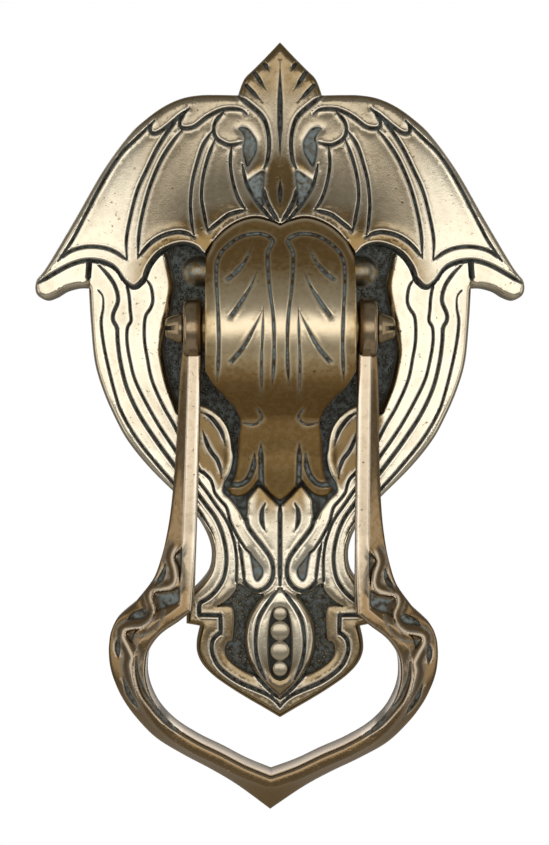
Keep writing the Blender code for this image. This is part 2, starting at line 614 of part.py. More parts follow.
def hinge_barrel(brass):
    outline = both_halves(barrel_half())
    back = GROUND_HEIGHT + SEAT_GAP
    barrel = raised("hinge_barrel", outline, [(0, back), (0, 2 * PIN_AXIS_HEIGHT + BARREL_RADIUS)], brass)
    profile = barrel_profile()
    side_view = [(profile[0][0], -MM), *profile, (profile[-1][0], -MM)]
    width = BARREL_SIDE + MM
    body = skinned("barrel_body", [[(x, -h, z) for z, h in side_view] for x in (-width, width)])
    boolean(barrel, body, "INTERSECT")
    surface = sorted(profile)
    frame_line = smooth_run(BARREL_FRAME_LINE, PLATE_CHORD_COUNT)
    feathers = [smooth_run(points, PLATE_CHORD_COUNT) for points in BARREL_FEATHERS]
    cut_lines(barrel, "frame_line", [frame_line], GROOVE_WIDTH, FEATHER_DEPTH, lambda x, z: level_at(surface, z))
    cut_lines(barrel, "feather", feathers, FEATHER_WIDTH, FEATHER_DEPTH, lambda x, z: level_at(surface, z))
    bore = rod("barrel_bore", PIN_DIAMETER / 2 + PIN_CLEARANCE, -width, width)
    hollow_radius = BARREL_RADIUS - BARREL_FRONT_WALL
    arch = [math.radians(angle) for angle in range(-90, 91, 15)]
    hollow = [(hollow_radius * math.sin(a), PIN_AXIS_HEIGHT + hollow_radius * math.cos(a)) for a in arch]
    hollow = [(hollow[0][0], -MM), *hollow, (hollow[-1][0], -MM)]
    for name, side in (("left", -1), ("right", 1)):
        span = (side * BARREL_WEB / 2, side * (BARREL_SIDE - BARREL_SIDE_WALL))
        tool = skinned(f"{name}_hollow", [[(x, -h, z) for z, h in hollow] for x in span])
        boolean(barrel, tool, "DIFFERENCE")
    boolean(barrel, on_pin(bore), "DIFFERENCE")
    for name, z in screw_places():
        radius = SCREW_DIAMETER / 2 + THREAD_CLEARANCE
        tapped = rod(f"{name}_tapped_hole", radius, 0, SCREW_LENGTH + 2 * SEAT_GAP)
        boolean(barrel, facing_front(tapped, 0, 0, z), "DIFFERENCE")
    return barrel


def leaning(x, z):
    """A point of the knocker turned about the pin by its lean."""
    return (x * math.cos(KNOCKER_LEAN) + z * math.sin(KNOCKER_LEAN),
            z * math.cos(KNOCKER_LEAN) - x * math.sin(KNOCKER_LEAN))


def bar_section(inner, outer, back, front, face, chamfer, side):
    """Points of the knocker's bar across one station, relative to the pin's axis."""
    width = math.dist(inner, outer)
    corners = [
        (0, back),
        (0, front - EDGE_SOFTENING),
        (EDGE_SOFTENING, front),
        (face, front),
        (width - EDGE_SOFTENING, front - chamfer),
        (width, front - chamfer - EDGE_SOFTENING),
        (width, back + EDGE_SOFTENING),
        (width - EDGE_SOFTENING, back),
    ]
    points = []
    for across, height in corners:
        share = across / width
        x = inner[0] + (outer[0] - inner[0]) * share
        z = inner[1] + (outer[1] - inner[1]) * share
        x, z = leaning(side * x, z)
        points.append((x, PIN_AXIS_HEIGHT - height, z))
    return points


def knocker_stations():
    """(inner, outer, share of the ring's section) from the top of the right arm to the ring's point."""
    arm = smooth_run([(*inner, *outer) for inner, outer in ARM_STATIONS], RING_CHORD_COUNT)
    point = tuple((x - ARM_INSIDE / MM, z) for x, z in RING_POINT)
    ring = smooth_run([(*inner, *outer) for inner, outer in [*RING_STATIONS, point]], RING_CHORD_COUNT)
    change_start = ARM_STATIONS[-3][0][1]
    change_end = ARM_STATIONS[-1][0][1]
    stations = []
    for x1, z1, x2, z2 in [*arm[:-1], *ring]:
        share = min(max((z1 - change_start) / (change_end - change_start), 0), 1)
        inner = (ARM_INSIDE + x1 * MM, placed_up(z1))
        outer = (ARM_INSIDE + x2 * MM, placed_up(z2))
        stations.append((inner, outer, share))
    return stations


def knocker(brass):
    half = knocker_stations()
    rings = []
    for side, stations in ((1, half[:-1]), (-1, half[::-1])):
        for inner, outer, share in stations:
            back = ARM_BACK + (PLATE_HEIGHT + STRIKE_GAP - ARM_BACK) * share
            front = ARM_FRONT + (RING_FRONT - ARM_FRONT) * share
            face = ARM_FACE + (RING_FACE - ARM_FACE) * share
            chamfer = ARM_CHAMFER + (RING_CHAMFER - ARM_CHAMFER) * share
            rings.append(bar_section(inner, outer, back, front, face, chamfer, side))
    bar = on_pin(skinned("knocker", rings, brass))
    soft = EDGE_SOFTENING
    radius = EYE_DIAMETER / 2
    eye_profile = [(ARM_INSIDE, radius - soft), (ARM_INSIDE + soft, radius), (ARM_OUTSIDE - soft, radius),
                   (ARM_OUTSIDE, radius - soft)]
    for name, side in (("left", -1), ("right", 1)):
        eye = turned(f"{name}_eye", [(side * along, r) for along, r in eye_profile], ROUND_SIDES)
        boolean(bar, on_pin(eye), "UNION")
    for name, side in (("left", -1), ("right", 1)):
        span = sorted((side * BARREL_SIDE, side * CAP_END))
        bore = rod(f"{name}_eye_bore", PIN_DIAMETER / 2 + PIN_CLEARANCE, *span)
        boolean(bar, on_pin(bore), "DIFFERENCE")
    return bar


def pin_and_caps(steel, brass):
    end = CAP_END - CAP_END_WALL
    radius = PIN_DIAMETER / 2
    tip = EDGE_SOFTENING
    profile = [(-end, radius - tip), (-end + tip, radius), (end - tip, radius), (end, radius - tip)]
    on_pin(turned("pivot_pin", profile, ROUND_SIDES, steel))
    bore = radius + PIN_CLEARANCE
    foot = CAP_LENGTH / 4
    for name, side in (("left", -1), ("right", 1)):
        cap_profile = [(CAP_START, CAP_DIAMETER / 2), (CAP_START + foot, CAP_DIAMETER / 2),
                       (CAP_END - foot, CAP_END_DIAMETER / 2 + MM / 2), (CAP_END, CAP_END_DIAMETER / 2)]
        cap = on_pin(turned(f"{name}_pin_cap", [(side * a, r) for a, r in cap_profile], CAP_SIDES, brass))
        hole = rod(f"{name}_cap_bore", bore, *sorted((side * ARM_OUTSIDE, side * (end + SEAT_GAP))))
        boolean(cap, on_pin(hole), "DIFFERENCE")
        slot_ends = sorted((side * (CAP_END - CAP_SLOT / 2), side * (CAP_END + MM)))
        low = (slot_ends[0], -CAP_DIAMETER, -CAP_SLOT / 2)
        high = (slot_ends[1], CAP_DIAMETER, CAP_SLOT / 2)
        boolean(cap, on_pin(block(f"{name}_cap_slot", low, high)), "DIFFERENCE")
        start = BARREL_SIDE + SEAT_GAP
        ring = [(start, bore), (start, WASHER_DIAMETER / 2), (start + WASHER_THICKNESS, WASHER_DIAMETER / 2),
                (start + WASHER_THICKNESS, bore)]
        on_pin(turned(f"{name}_spacing_washer", [(side * a, r) for a, r in ring], ROUND_SIDES, brass, through=True))


def stud_places():
    return (("upper", UPPER_STUD_RISE), ("lower", -LOWER_STUD_DROP))


def screw_places():
    return (("upper", SCREW_OFFSET), ("lower", -SCREW_OFFSET))


def screw_shape(name, grow, material=None):
    """Countersunk screw from its head's face, or the hole that clears it by the given amount."""
    head = SCREW_HEAD_DIAMETER / 2 + grow
    shank = SCREW_DIAMETER / 2 + grow
    start = SEAT_GAP - (MM if grow else 0)
    profile = [(start, head), (SEAT_GAP + grow, head), (SEAT_GAP + SCREW_HEAD_HEIGHT + grow, shank),
               (SCREW_LENGTH + 2 * grow, shank)]
    if not grow:
        profile = [profile[0], *profile[2:]]
    return turned(name, profile, ROUND_SIDES, material)


def barrel_screws(steel):
    for name, z in screw_places():
        screw = facing_front(screw_shape(f"{name}_barrel_screw", 0, steel), 0, 0, z)
        low = (-SCREW_HEAD_DIAMETER, -SEAT_GAP - SCREW_SLOT_DEPTH, z - SCREW_SLOT / 2)
        high = (SCREW_HEAD_DIAMETER, MM, z + SCREW_SLOT / 2)
        boolean(screw, block(f"{name}_screw_slot", low, high), "DIFFERENCE")


def door_fixings(steel):
    """Studs screwed into the plate, with a washer and a square nut on the inside of the door."""
    nut_start = DOOR_THICKNESS + DOOR_WASHER_THICKNESS + SEAT_GAP
    length = nut_start + NUT_THICKNESS + STUD_SPARE
    radius = STUD_DIAMETER / 2
    bore = radius + THREAD_CLEARANCE
    tip = EDGE_SOFTENING
    inner_end = SEAT_GAP - STUD_SEAT
    for name, z in stud_places():
        profile = [(inner_end, radius - tip), (inner_end + tip, radius), (length - tip, radius), (length, radius - tip)]
        facing_back(turned(f"{name}_stud", profile, ROUND_SIDES, steel), 0, 0, z)
        far = DOOR_THICKNESS + DOOR_WASHER_THICKNESS
        ring = [(DOOR_THICKNESS, bore), (DOOR_THICKNESS, DOOR_WASHER_DIAMETER / 2), (far, DOOR_WASHER_DIAMETER / 2),
                (far, bore)]
        facing_back(turned(f"{name}_door_washer", ring, ROUND_SIDES, steel, through=True), 0, 0, z)
        corner = NUT_ACROSS_FLATS / math.sqrt(2)
        ends = (nut_start, nut_start + NUT_THICKNESS)
        nut = turned(f"{name}_square_nut", [(a, corner) for a in ends], 4, steel, first_angle=math.radians(45))
        facing_back(nut, 0, 0, z)
        tapped = rod(f"{name}_nut_bore", bore, ends[0] - MM, ends[1] + MM)
        boolean(nut, facing_back(tapped, 0, 0, z), "DIFFERENCE")


def main():
    clear_scene()
    brass = metal("aged cast brass", (0.50, 0.38, 0.20), 0.42)
    ring_brass = metal("handled cast brass", (0.42, 0.28, 0.17), 0.38)
    steel = metal("blackened steel", (0.12, 0.12, 0.12), 0.5)
    backplate(brass)
    hinge_barrel(brass)
    knocker(ring_brass)
    pin_and_caps(steel, brass)
    barrel_screws(steel)
    door_fixings(steel)


main()
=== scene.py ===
"""Looks of the cast-brass door knocker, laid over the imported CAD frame.

Frame: metres, +Z up, +X to the right as seen from the front. The front faces -Y, and the plate's back lies
on y = 0. Drawings here are in millimetres as (across, up from the pin), for the right half unless a comment
says otherwise.
A height is measured from the plate's back towards the viewer, so height h lies at y = -h.
"""

import math
from types import SimpleNamespace
from typing import NamedTuple

import bmesh
import bpy
import numpy as np
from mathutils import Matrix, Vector, kdtree
from mathutils.geometry import delaunay_2d_cdt


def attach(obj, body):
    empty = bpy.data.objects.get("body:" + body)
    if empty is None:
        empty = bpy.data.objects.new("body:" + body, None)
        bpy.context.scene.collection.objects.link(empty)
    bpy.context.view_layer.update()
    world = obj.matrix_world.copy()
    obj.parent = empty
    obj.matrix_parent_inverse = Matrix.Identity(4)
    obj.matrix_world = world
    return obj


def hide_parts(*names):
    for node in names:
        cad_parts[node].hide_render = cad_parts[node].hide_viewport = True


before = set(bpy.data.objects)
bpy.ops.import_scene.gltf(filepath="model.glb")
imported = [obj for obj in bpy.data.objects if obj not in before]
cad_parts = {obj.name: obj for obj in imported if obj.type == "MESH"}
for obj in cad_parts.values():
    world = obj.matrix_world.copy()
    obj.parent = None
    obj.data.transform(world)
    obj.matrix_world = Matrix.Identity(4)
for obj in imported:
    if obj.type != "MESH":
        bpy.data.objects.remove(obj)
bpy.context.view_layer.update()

MM = 0.001

# Heights of the plate's levels
RIM_FOOT = 0.8  # upright wall at the very edge
STRAP_HEIGHT = 6.0
GROUND_HEIGHT = 3.0
TONGUE_GROUND_HEIGHT = 3.8
WING_HEIGHT = 7.4
WING_LIFT = 2.3  # rise of the wings and the crest's foot towards the barrel
WING_FALL = 2.8  # the wings lean back towards their upper rim
POD_FOOT = 3.9
POD_RISE = 3.5
CAVITY_HEIGHT = 5.3  # floor under the pearls
PEARL_LIFT = 0.5
PEARL_FLATNESS = 0.32
LUG_RISE = 1.7

# Edges, grooves and the fineness of the relief
EDGE_ROLL = 1.5  # width of the roll along the plate's edge
WING_ROLL = 2.2
GROOVE_WIDTH = 0.75
STRAP_LINE_WIDTH = 0.62
GROOVE_DEPTH = 0.85
SHOULDER_DROP = 0.22
SHOULDER_WIDTH = 1.5
LIP_RISE = 0.13  # bead thrown up beside each cut
LIP_AWAY = 0.3
LIP_WIDTH = 0.22
GROOVE_REACH = 2.5  # how far a groove is felt on either side
NOTCH_WALL = (1.2, 0.35)  # a groove's wall, in half widths from its middle: top and foot
NOTCH_DARK = (1.12, 0.62)  # where its patina fades, in half widths
DARK_SHARE = 2.5  # how fast patina and lip come up where a groove grows wider
LIP_SHARE = 2.0
RECESS_REACH = 2.0
RECESS_WALL = 0.4
RECESS_OVERLAP = 0.05
RECESS_SHOULDER = 0.3
RECESS_SHOULDER_WIDTH = 0.7
LINE_STEP = 0.42
GRID_STEP = 0.75
ROW_GAP = 0.09
GRID_CLEARANCE = 0.4
RIM_CLEARANCE = 0.06
GROOVE_ROWS = (-2.4, -1.75, -1.2, -0.8, -0.45, 0.0, 0.45, 0.8, 1.2, 1.75, 2.4)
EDGE_ROWS = (-0.5, -0.2, 0.0, 0.2, 0.5)
ROLL_ROWS = (0.1, 0.25, 0.5, 0.85, 1.25, 1.8, 2.6)
NARROW_ROLL_ROWS = ROLL_ROWS[:5]
FACE_ROWS = (-0.5, -0.25, 0, 0.25, 0.5)
STEM_ROWS = (-1.7, -1.2, -0.8, -0.4, 0, 0.4, 0.8, 1.2, 1.7)
CURVE_FINENESS = 16  # steps between two drawn points
ROLL_POWER = 2.6  # how square a rolled edge is

# Barrel, pin and knocker
PIN_HEIGHT = 11.0
BARREL_SIDE = 18.0
BARREL_BACK = 3.3
BARREL_RADIUS = 16.5
BARREL_ROLL = 0.9
ARM_INSIDE = 19.2
ARM_OUTSIDE = 23.6
ARM_BACK = 8.2
ARM_FRONT = 13.6
ARM_CHAMFER = 2.6
FACE_WIDTH = 3.0  # flat band along the inner edge
RING_BACK = 6.4
RING_ROLL = 1.6  # the ring's inner edge is rounded
RING_ROLL_DROP = 1.4
RING_FRONT = 17.2
RING_CHAMFER = 4.8
RING_ZONE = (-50.0, -72.0)  # where the arms pass into the ring
KNOCKER_LEAN = math.radians(1.2)
VINE_DEPTH = 1.1
VINE_RISE = 0.65
VINE_HALF_WIDTH = 1.15
EYE_RADIUS = 7.4
CAP_START = 23.9
CAP_END = 28.1
CAP_RADIUS = 3.9
CAP_END_RADIUS = 2.3
CAP_SLOT = 1.0
CAP_SLOT_DEPTH = 1.5

# Fixings behind the door
STUD_RADIUS = 3.0
STUD_START = -3.7
STUD_END = 55.1
STUD_PITCH = 1.0
THREAD_DEPTH = 0.45
STUD_UPS = {"upper": 40.0, "lower": -57.0}
SCREW_UPS = (10.0, -10.0)
SCREW_HOLE_RADIUS = 4.1
SCREW_HOLE_DEPTH = 2.6

# Limits and settings of the geometry
SIDES = {"left": -1, "right": 1}
TINY = 1e-9
NARROWEST = 1e-3
CELL_ORIGIN = 100000
CELL_STRIDE = 1000000
NO_POINTS = np.empty((0, 2))
KEEP_INSIDE = 1  # the triangulation keeps what lies inside its loops
MERGE_DISTANCE = 1e-5
TURNED_SHARP = 40  # degrees

# Forms of the plate; a zone gives where something starts and where it is full, in millimetres
WING_LIFT_SQUEEZE = 0.75
WING_LIFT_UP = 4
WING_LIFT_AWAY = 20
WING_LIFT_WIDTH = 11
WING_FALL_ZONE = (20, 65)
WING_ROLL_UP = (12, 18)
WING_STEP_ZONE = (-0.05, 0.25)
TIP_DROP = 0.3
TIP_ZONE = (46.8, 48.0)
LEAF_DIP = 0.9
LEAF_DIP_ZONE = (0, 3)
LEAF_DIP_ACROSS = (22, 13)
BANK_DROP = 0.6
BANK_ZONE = (-1.6, 0)
BANK_ACROSS = (19, 24)
POD_ROLL = 2.2
POD_CROWN = 0.15  # share of the pod's rise that its middle adds
POD_CROWN_ZONE = (0, 6)
POD_EDGE_ZONE = (0, 0.3)
POD_POINT_FROM = 8  # the pod's lower point starts at this drawn point
CAVITY_WALL = 0.5
RECESS_LIP_AT = -0.4
RECESS_DARK_AT = 0.15
RECESS_LINE_WIDTH = 0.3
LUG_GRID_STEP = 0.35
WING_CLOSING = [(-5, 25.4), (-5, 71.2)]  # past the centre line, under the other half
GROUND_TOP = [(0, 30), (26, 30)]  # hidden under the wings
SIDE_GROUND_LEAF_POINTS = 5  # points of the leaf's edge that the beads follow
SIDE_GROUND_CLOSING = [  # along the barrel's side
    (10, -22), (BARREL_SIDE, -10), (BARREL_SIDE, 20),
]

# Marks of the plate: shares from 0 to 1, and where they lie
PLATE_BACK_PATINA = 0.7
KNOCKER_BACK_PATINA = 0.6
BACK_TARNISH = 0.9
GROUND_PATINA = 0.95
LUG_BARE = 0.9
LUG_BARE_ZONE = (0, 0.35)
# Painted shade: the side leaf is darkened and browned to stand for its tilted surface.
LEAF_SHADE_PATINA = 0.15
LEAF_SHADE_PATINA_ZONE = (0, 1.5)
RECESS_PATINA = 0.7
# Painted shade: a dark band along the plate's rolled edge, where it turns away.
RIM_SHADE_DARK = 0.6
RIM_SHADE_DARK_ZONE = (0.5, 0.1)
GROOVE_DEPOSIT = 0.45
CAVITY_DEPOSIT = 0.15
GROUND_DEPOSIT = 0.5
LEAF_DEPOSIT_WIDTH = 1.3
WING_TARNISH = 0.05
# Painted shade: the wings' inner panels, and the panels where the wings lift towards the barrel, are browner.
INNER_WING_SHADE = 0.5
WEB_ZONE = (39, 31)
LIFT_SHADE = 0.5
LIFT_ZONE = (7.9, 9.1)
# Painted shade: the top of the crest, which leans back, is browner.
CREST_TOP_SHADE = 0.3
CREST_TOP_UP = (54, 60)
CREST_TOP_ACROSS = (12, 10)
CREST_FOOT_TARNISH = 0.6
CREST_FOOT_UP = (48, 36)
CREST_FOOT_ACROSS = (8, 5)
# Painted shade: the leaflets are browner on their upper half and the lower plate is browner, except the pod's
# upper part, which stays bright as a painted highlight.
LEAFLET_TOP_SHADE = 0.95
LEAFLET_ACROSS = (8, 5)
LEAFLET_UP = (-52, -42)
LOW_SHADE = 0.8
LOW_UP = (-58, -72)
POD_BRIGHT = 0.8
POD_BRIGHT_ZONE = (0, 0.5)
POD_BRIGHT_UP = (-86, -78)
BANK_TARNISH = 0.6
LEAF_SHADE_ZONE = (0, 1.2)
# Painted shade: browner towards the plate's rolled edge.
RIM_SHADE_BROWN = 0.6
RIM_SHADE_BROWN_ZONE = (1.5, 0.3)
# Lips beside the cuts are paled for wear and as painted highlights, less on the wings.
STRAP_RUB_AND_SHINE = 0.7
WING_RUB_AND_SHINE = 0.5

# Shape and marks of the barrel
BARREL_PROFILE_STEP = 0.2
BARREL_ROLL_DROP = 0.7
TAIL_FALL = 1.0
TAIL_FALL_ACROSS = (4.6, 9.6)
TAIL_FALL_UP = (-26, -32)
TAIL_ROLL = 1.8
TAIL_ROLL_DROP = 1.2
TAIL_ROLL_UP = (-22, -30)
BARREL_PATINA = 0.9
BARREL_TARNISH = 0.05
# Brown on the barrel's slopes above and below the band: partly age, partly painted shade where the bulge
# turns from the light.
SLOPE_TARNISH_AND_SHADE = 0.85
SLOPE_ZONE = (5, 15)  # away from the shine
# Painted shade: the barrel browner towards its sides, as if crowned across.
SIDE_SHADE = 0.3
BARREL_SIDE_ZONE = (12, 17)
# Lips on the barrel are paled for wear everywhere, and fully near the band as painted highlights.
LIP_RUB_AND_SHINE = 0.35
LIP_SHINE_UP = 1
LIP_SHINE_ZONE = (14, 8)
# A pale line along the barrel's top border: wear, and a painted highlight on its roll.
RIM_RUB_AND_SHINE = 0.8
RIM_SHINE_AT = 0.5
RIM_SHINE_WIDTH = 0.35
RIM_SHINE_ZONE = (15, 19)
SHINE = 0.8  # painted highlight: a pale band across the barrel's bulge
SHINE_UP = 2
SHINE_WIDTH = 7
SHINE_ACROSS = (18, 13)

# Shape and marks of the knocker
RING_SOFTER = 0.8  # the ring's lines are this much softer than the arms'
LEAST_SLOPE = 0.5
FACE_LINE_RISE = 0.04
FACE_LINE_WIDTH = 0.5
ARM_ROLL = 0.8
ARM_ROLL_DROP = 0.6
MOAT_AWAY = 1.7  # in half widths of the stem
MOAT_WIDTH = 0.5
MOAT_DEPTH = 0.3
STEM_START_ZONE = (0, 0.06)  # shares of the stem's length
STEM_END_ZONE = (1.0, 0.7)
STEM_CLEAN_ZONE = (0, 0.5)  # shares of the stem's height
STEM_SHINE_ZONE = (0.6, 1.0)
POCKET_PATINA = 0.75
LINE_PATINA = 0.8
MOAT_PATINA = 0.35
# Painted shade: a thin dark line along the knocker's outer edge, where it rolls away.
ARM_RIM_SHADE = 0.7
ARM_RIM_ZONE = (0.3, 0)
POCKET_DEPOSIT = 0.95
LINE_DEPOSIT = 0.7
MOAT_DEPOSIT = 0.4
ARM_TARNISH = 0.3
RING_TARNISH = 0.5
# Painted shade: the sloping chamfers of the arms and the ring are browner than the flat face.
CHAMFER_SHADE_START = 0.9
ARM_SHADE_SHIFT = 1.6
CHAMFER_SHADE = 0.6
CHAMFER_SHADE_ZONE = (0, 1.2)
# Painted shade: the ring browner towards its lowest point.
POINT_SHADE = 0.5
POINT_SHADE_UP = (-90, -104)
# Pale edges on the knocker: wear by hands, and painted highlights on the inner edge, the face line, the stem
# and the lips.
INNER_SHINE_AT = 0.5
EDGE_SHINE_WIDTH = 0.35
FACE_RUB_AND_SHINE = 0.5
STEM_RUB_AND_SHINE = 0.45
VINE_LIP_RUB_AND_SHINE = 0.5
EYE_EDGE = [(0.0, 0.9), (0.25, 0.35), (0.9, 0.0)]  # in from the side, cut from the radius

# Marks of whole pieces: patina, deposit, brown share, pale share; over the reliefs the brown share also
# carries painted shade and the pale share painted highlights
EYE_MARKS = (0.03, 0, 0.7, 0)
CAP_MARKS = (0.1, 0, 0.8, 0)
PEARL_MARKS = (0.1, 0, 0.35, 0)

# Small pieces
CAP_SIDES = 48
CAP_PROFILE = [
    (CAP_START, CAP_RADIUS - 0.3), (CAP_START + 0.2, CAP_RADIUS), (CAP_START + 0.9, CAP_RADIUS),
    (CAP_START + 1.1, CAP_RADIUS - 0.15), (CAP_END - 1.0, CAP_END_RADIUS + 0.5),
    (CAP_END - 0.3, CAP_END_RADIUS + 0.1), (CAP_END, CAP_END_RADIUS - 0.5),
]
CAP_SLOT_EXTRA = 1
CAP_SLOT_REACH = 5
PEARL_SEGMENTS = 28
PEARL_RINGS = 14
BEAD_SPACING = 0.85
BEAD_RADIUS = 0.45
BEAD_SCALES = (0.6, 1.15)
BEAD_DENSITY = 4e6  # for a square metre, before the spacing thins it out
BEAD_SEED = 7
STUD_SIDES = 32
THREAD_STEPS = 24


# Finishes: colours as sRGB hex, sizes of patterns in millimetres, zones of noise from 0 to 1

class Finish(NamedTuple):
    """Colours of brass: pale for wear and painted highlights, bright, and brown for age and painted shade;
    its shares of stain and mottling, and its roughness.
    """
    rubbed_and_highlit: str
    bright: str
    tarnished_and_shaded: str
    stained: float
    mottling: float
    roughness: float


# The pale colour paints worn edges and painted highlights; the brown one paints age and painted shade.
PLATE_FINISH = Finish("#FCF8EE", "#EFE8D6", "#8E7750", 0.32, 0.1, 0.22)
BARREL_FINISH = Finish("#F6E8CE", "#E8D5AE", "#A08252", 0.35, 0.35, 0.33)
RING_FINISH = Finish("#F8F0E4", "#E2D5C0", "#8E7757", 0.4, 0.2, 0.22)
# Spacing washers: brass darkened all over as painted shade in the narrow gap between each eye and the barrel.
SHADED_WASHER_FINISH = Finish("#A58A5E", "#8C7048", "#6A5334", 0.5, 0.3, 0.35)
BARREL_GROUND_COLOURS = ("#6A6A64", "#A3A39A")  # black, bloomed
TONGUE_GROUND_COLOURS = ("#857A64", "#B9AC90")
PATINA_COLOUR = "#2C2D2C"
PATINA_METALLIC = 0.2
PATINA_ROUGHNESS = 0.75
DEPOSIT_COLOUR = "#92A0A4"
DEPOSIT_SIZE = 1.3
CRUST_ZONE = (0.38, 0.58)
MOTTLE_ZONE = (0.45, 0.7)
STAIN_SIZE = 16.0
STAIN_ROUGHNESS = 0.62
STAIN_ZONE = (0.44, 0.72)
ROUGHNESS_SPREAD = 0.22
PIT_COLOUR = "#5A4528"
PIT_SIZE = 1.1
PIT_ZONE = (0.67, 0.78)
PIT_SHARE = 0.7
PIT_STRENGTH = 0.5
PIT_DEPTH = 0.08
GRAIN_SIZE = 0.45
GRAIN_STRENGTH = 0.25
GRAIN_DEPTH = 0.06
DROP_SPACING = 9.0  # dried water drops leave rings
DROP_RADIUS = 0.22  # shares of the spacing
DROP_RING_WIDTH = 0.025
DROP_SHARE = 0.8
STEEL_COLOUR = "#6B6A68"
STEEL_ROUGHNESS = (0.3, 0.55)
RUST_COLOUR = "#5B4636"
RUST_SIZE = 5
RUST_ZONE = (0.52, 0.75)
RUST_SHARE = 0.7
TOOL_MARK_SIZE = 0.4
TOOL_MARK_STRENGTH = 0.3
TOOL_MARK_DEPTH = 0.04
BLOOM_SIZE = 1.4
BLOOM_ZONE = (0.45, 0.7)
BLOOM_SHARE = 0.8
GROUND_METALLIC = 0.9
GROUND_ROUGHNESS = 0.35
WHOLE = (0.0, 1.0)

# Stage in metres
CAMERA_PLACE = (-0.00405, -0.5, -0.00563)
CAMERA_AIM = (-0.00135, 0.0, -0.02353)
CAMERA_LENS = 84.85
FLOOR_UP = -0.2
FLOOR_RADIUS = 0.24
FLOOR_SIDES = 96
BACKDROP_BEHIND = 4.0
BACKDROP_SIZE = 2.8
STAGE_COLOUR = "#F4F3F0"
STAGE_ROUGHNESS = 0.9
ROOM_COLOUR = "#B5B1A8"
ROOM_STRENGTH = 0.5
LIGHTS = [  # name, place, aim, width, height, brightness, colour
    ("front softbox", (0.0, -0.62, 0.045), (0, 0, 0.045), 0.9, 0.36, 1.2, "#FFFAF1"),
    ("left fill", (-0.75, -0.3, 0.0), (0, 0, -0.02), 0.5, 1.0, 0.8, "#FFF8EC"),
    ("right fill", (0.75, -0.3, 0.0), (0, 0, -0.02), 0.5, 1.0, 0.8, "#FFF8EC"),
    ("rear fill", (0.0, 0.8, 0.2), (0, 0, -0.02), 0.9, 0.6, 0.8, "#FFF8EC"),
]

# CAD nodes that stay as they are, with a better material
KEPT_STEEL = (
    "pivot_pin", "upper_barrel_screw", "lower_barrel_screw", "upper_door_washer", "lower_door_washer",
    "upper_square_nut", "lower_square_nut",
)
KEPT_BRASS = ("left_spacing_washer", "right_spacing_washer")

# Outline of the plate in runs that meet at corners
PLATE_RUNS = [
    [(0, 71.2), (3.6, 67.4), (6.6, 64.4), (9.0, 61.9), (10.5, 58.0)],
    [
        (10.5, 58.0), (15.5, 58.1), (20.0, 58.0), (24.4, 57.2), (28.9, 55.2), (33.4, 52.0), (37.6, 48.0),
        (43.9, 39.4), (51.0, 27.1), (58.0, 15.4), (60.6, 11.9), (60.6, 8.6), (58.2, 7.0), (55.6, 7.7),
        (53.0, 9.2), (50.0, 10.0), (47.6, 10.0),
    ],
    [
        (47.6, 10.0), (47.2, 2.0), (46.3, -7.9), (44.3, -15.1), (41.4, -21.9), (38.0, -28.1), (32.5, -34.9),
        (24.5, -42.9), (20.0, -48.1), (17.4, -54.0), (17.5, -59.4), (19.8, -63.1), (23.5, -66.6),
    ],
    [(23.5, -66.6), (23.5, -73.8)],
    [(23.5, -73.8), (20.1, -74.4)],
    [
        (20.1, -74.4), (20.9, -78.1), (20.8, -81.1), (19.4, -84.1), (16.5, -87.1), (12.3, -90.1),
        (7.8, -92.9), (4.0, -95.1), (0, -97.5),
    ],
]
WING_RIM_POINTS = 10  # points of the wing's run before it turns under at the tip
SCALLOP = [
    (59.8, 11.2), (54.9, 14.1), (51.3, 15.9), (47.7, 16.8), (43.7, 16.4), (40.6, 14.8), (38.6, 12.0),
    (36.2, 10.2), (33.9, 11.8), (32.2, 15.6), (29.4, 18.8), (25.0, 20.6), (21.5, 20.2), (18.5, 18.0),
]
BARREL_TOP = [(0, 25.4), (2.4, 26.4), (6.0, 27.2), (9.6, 26.4), (13.2, 24.3), (16.3, 21.2)]

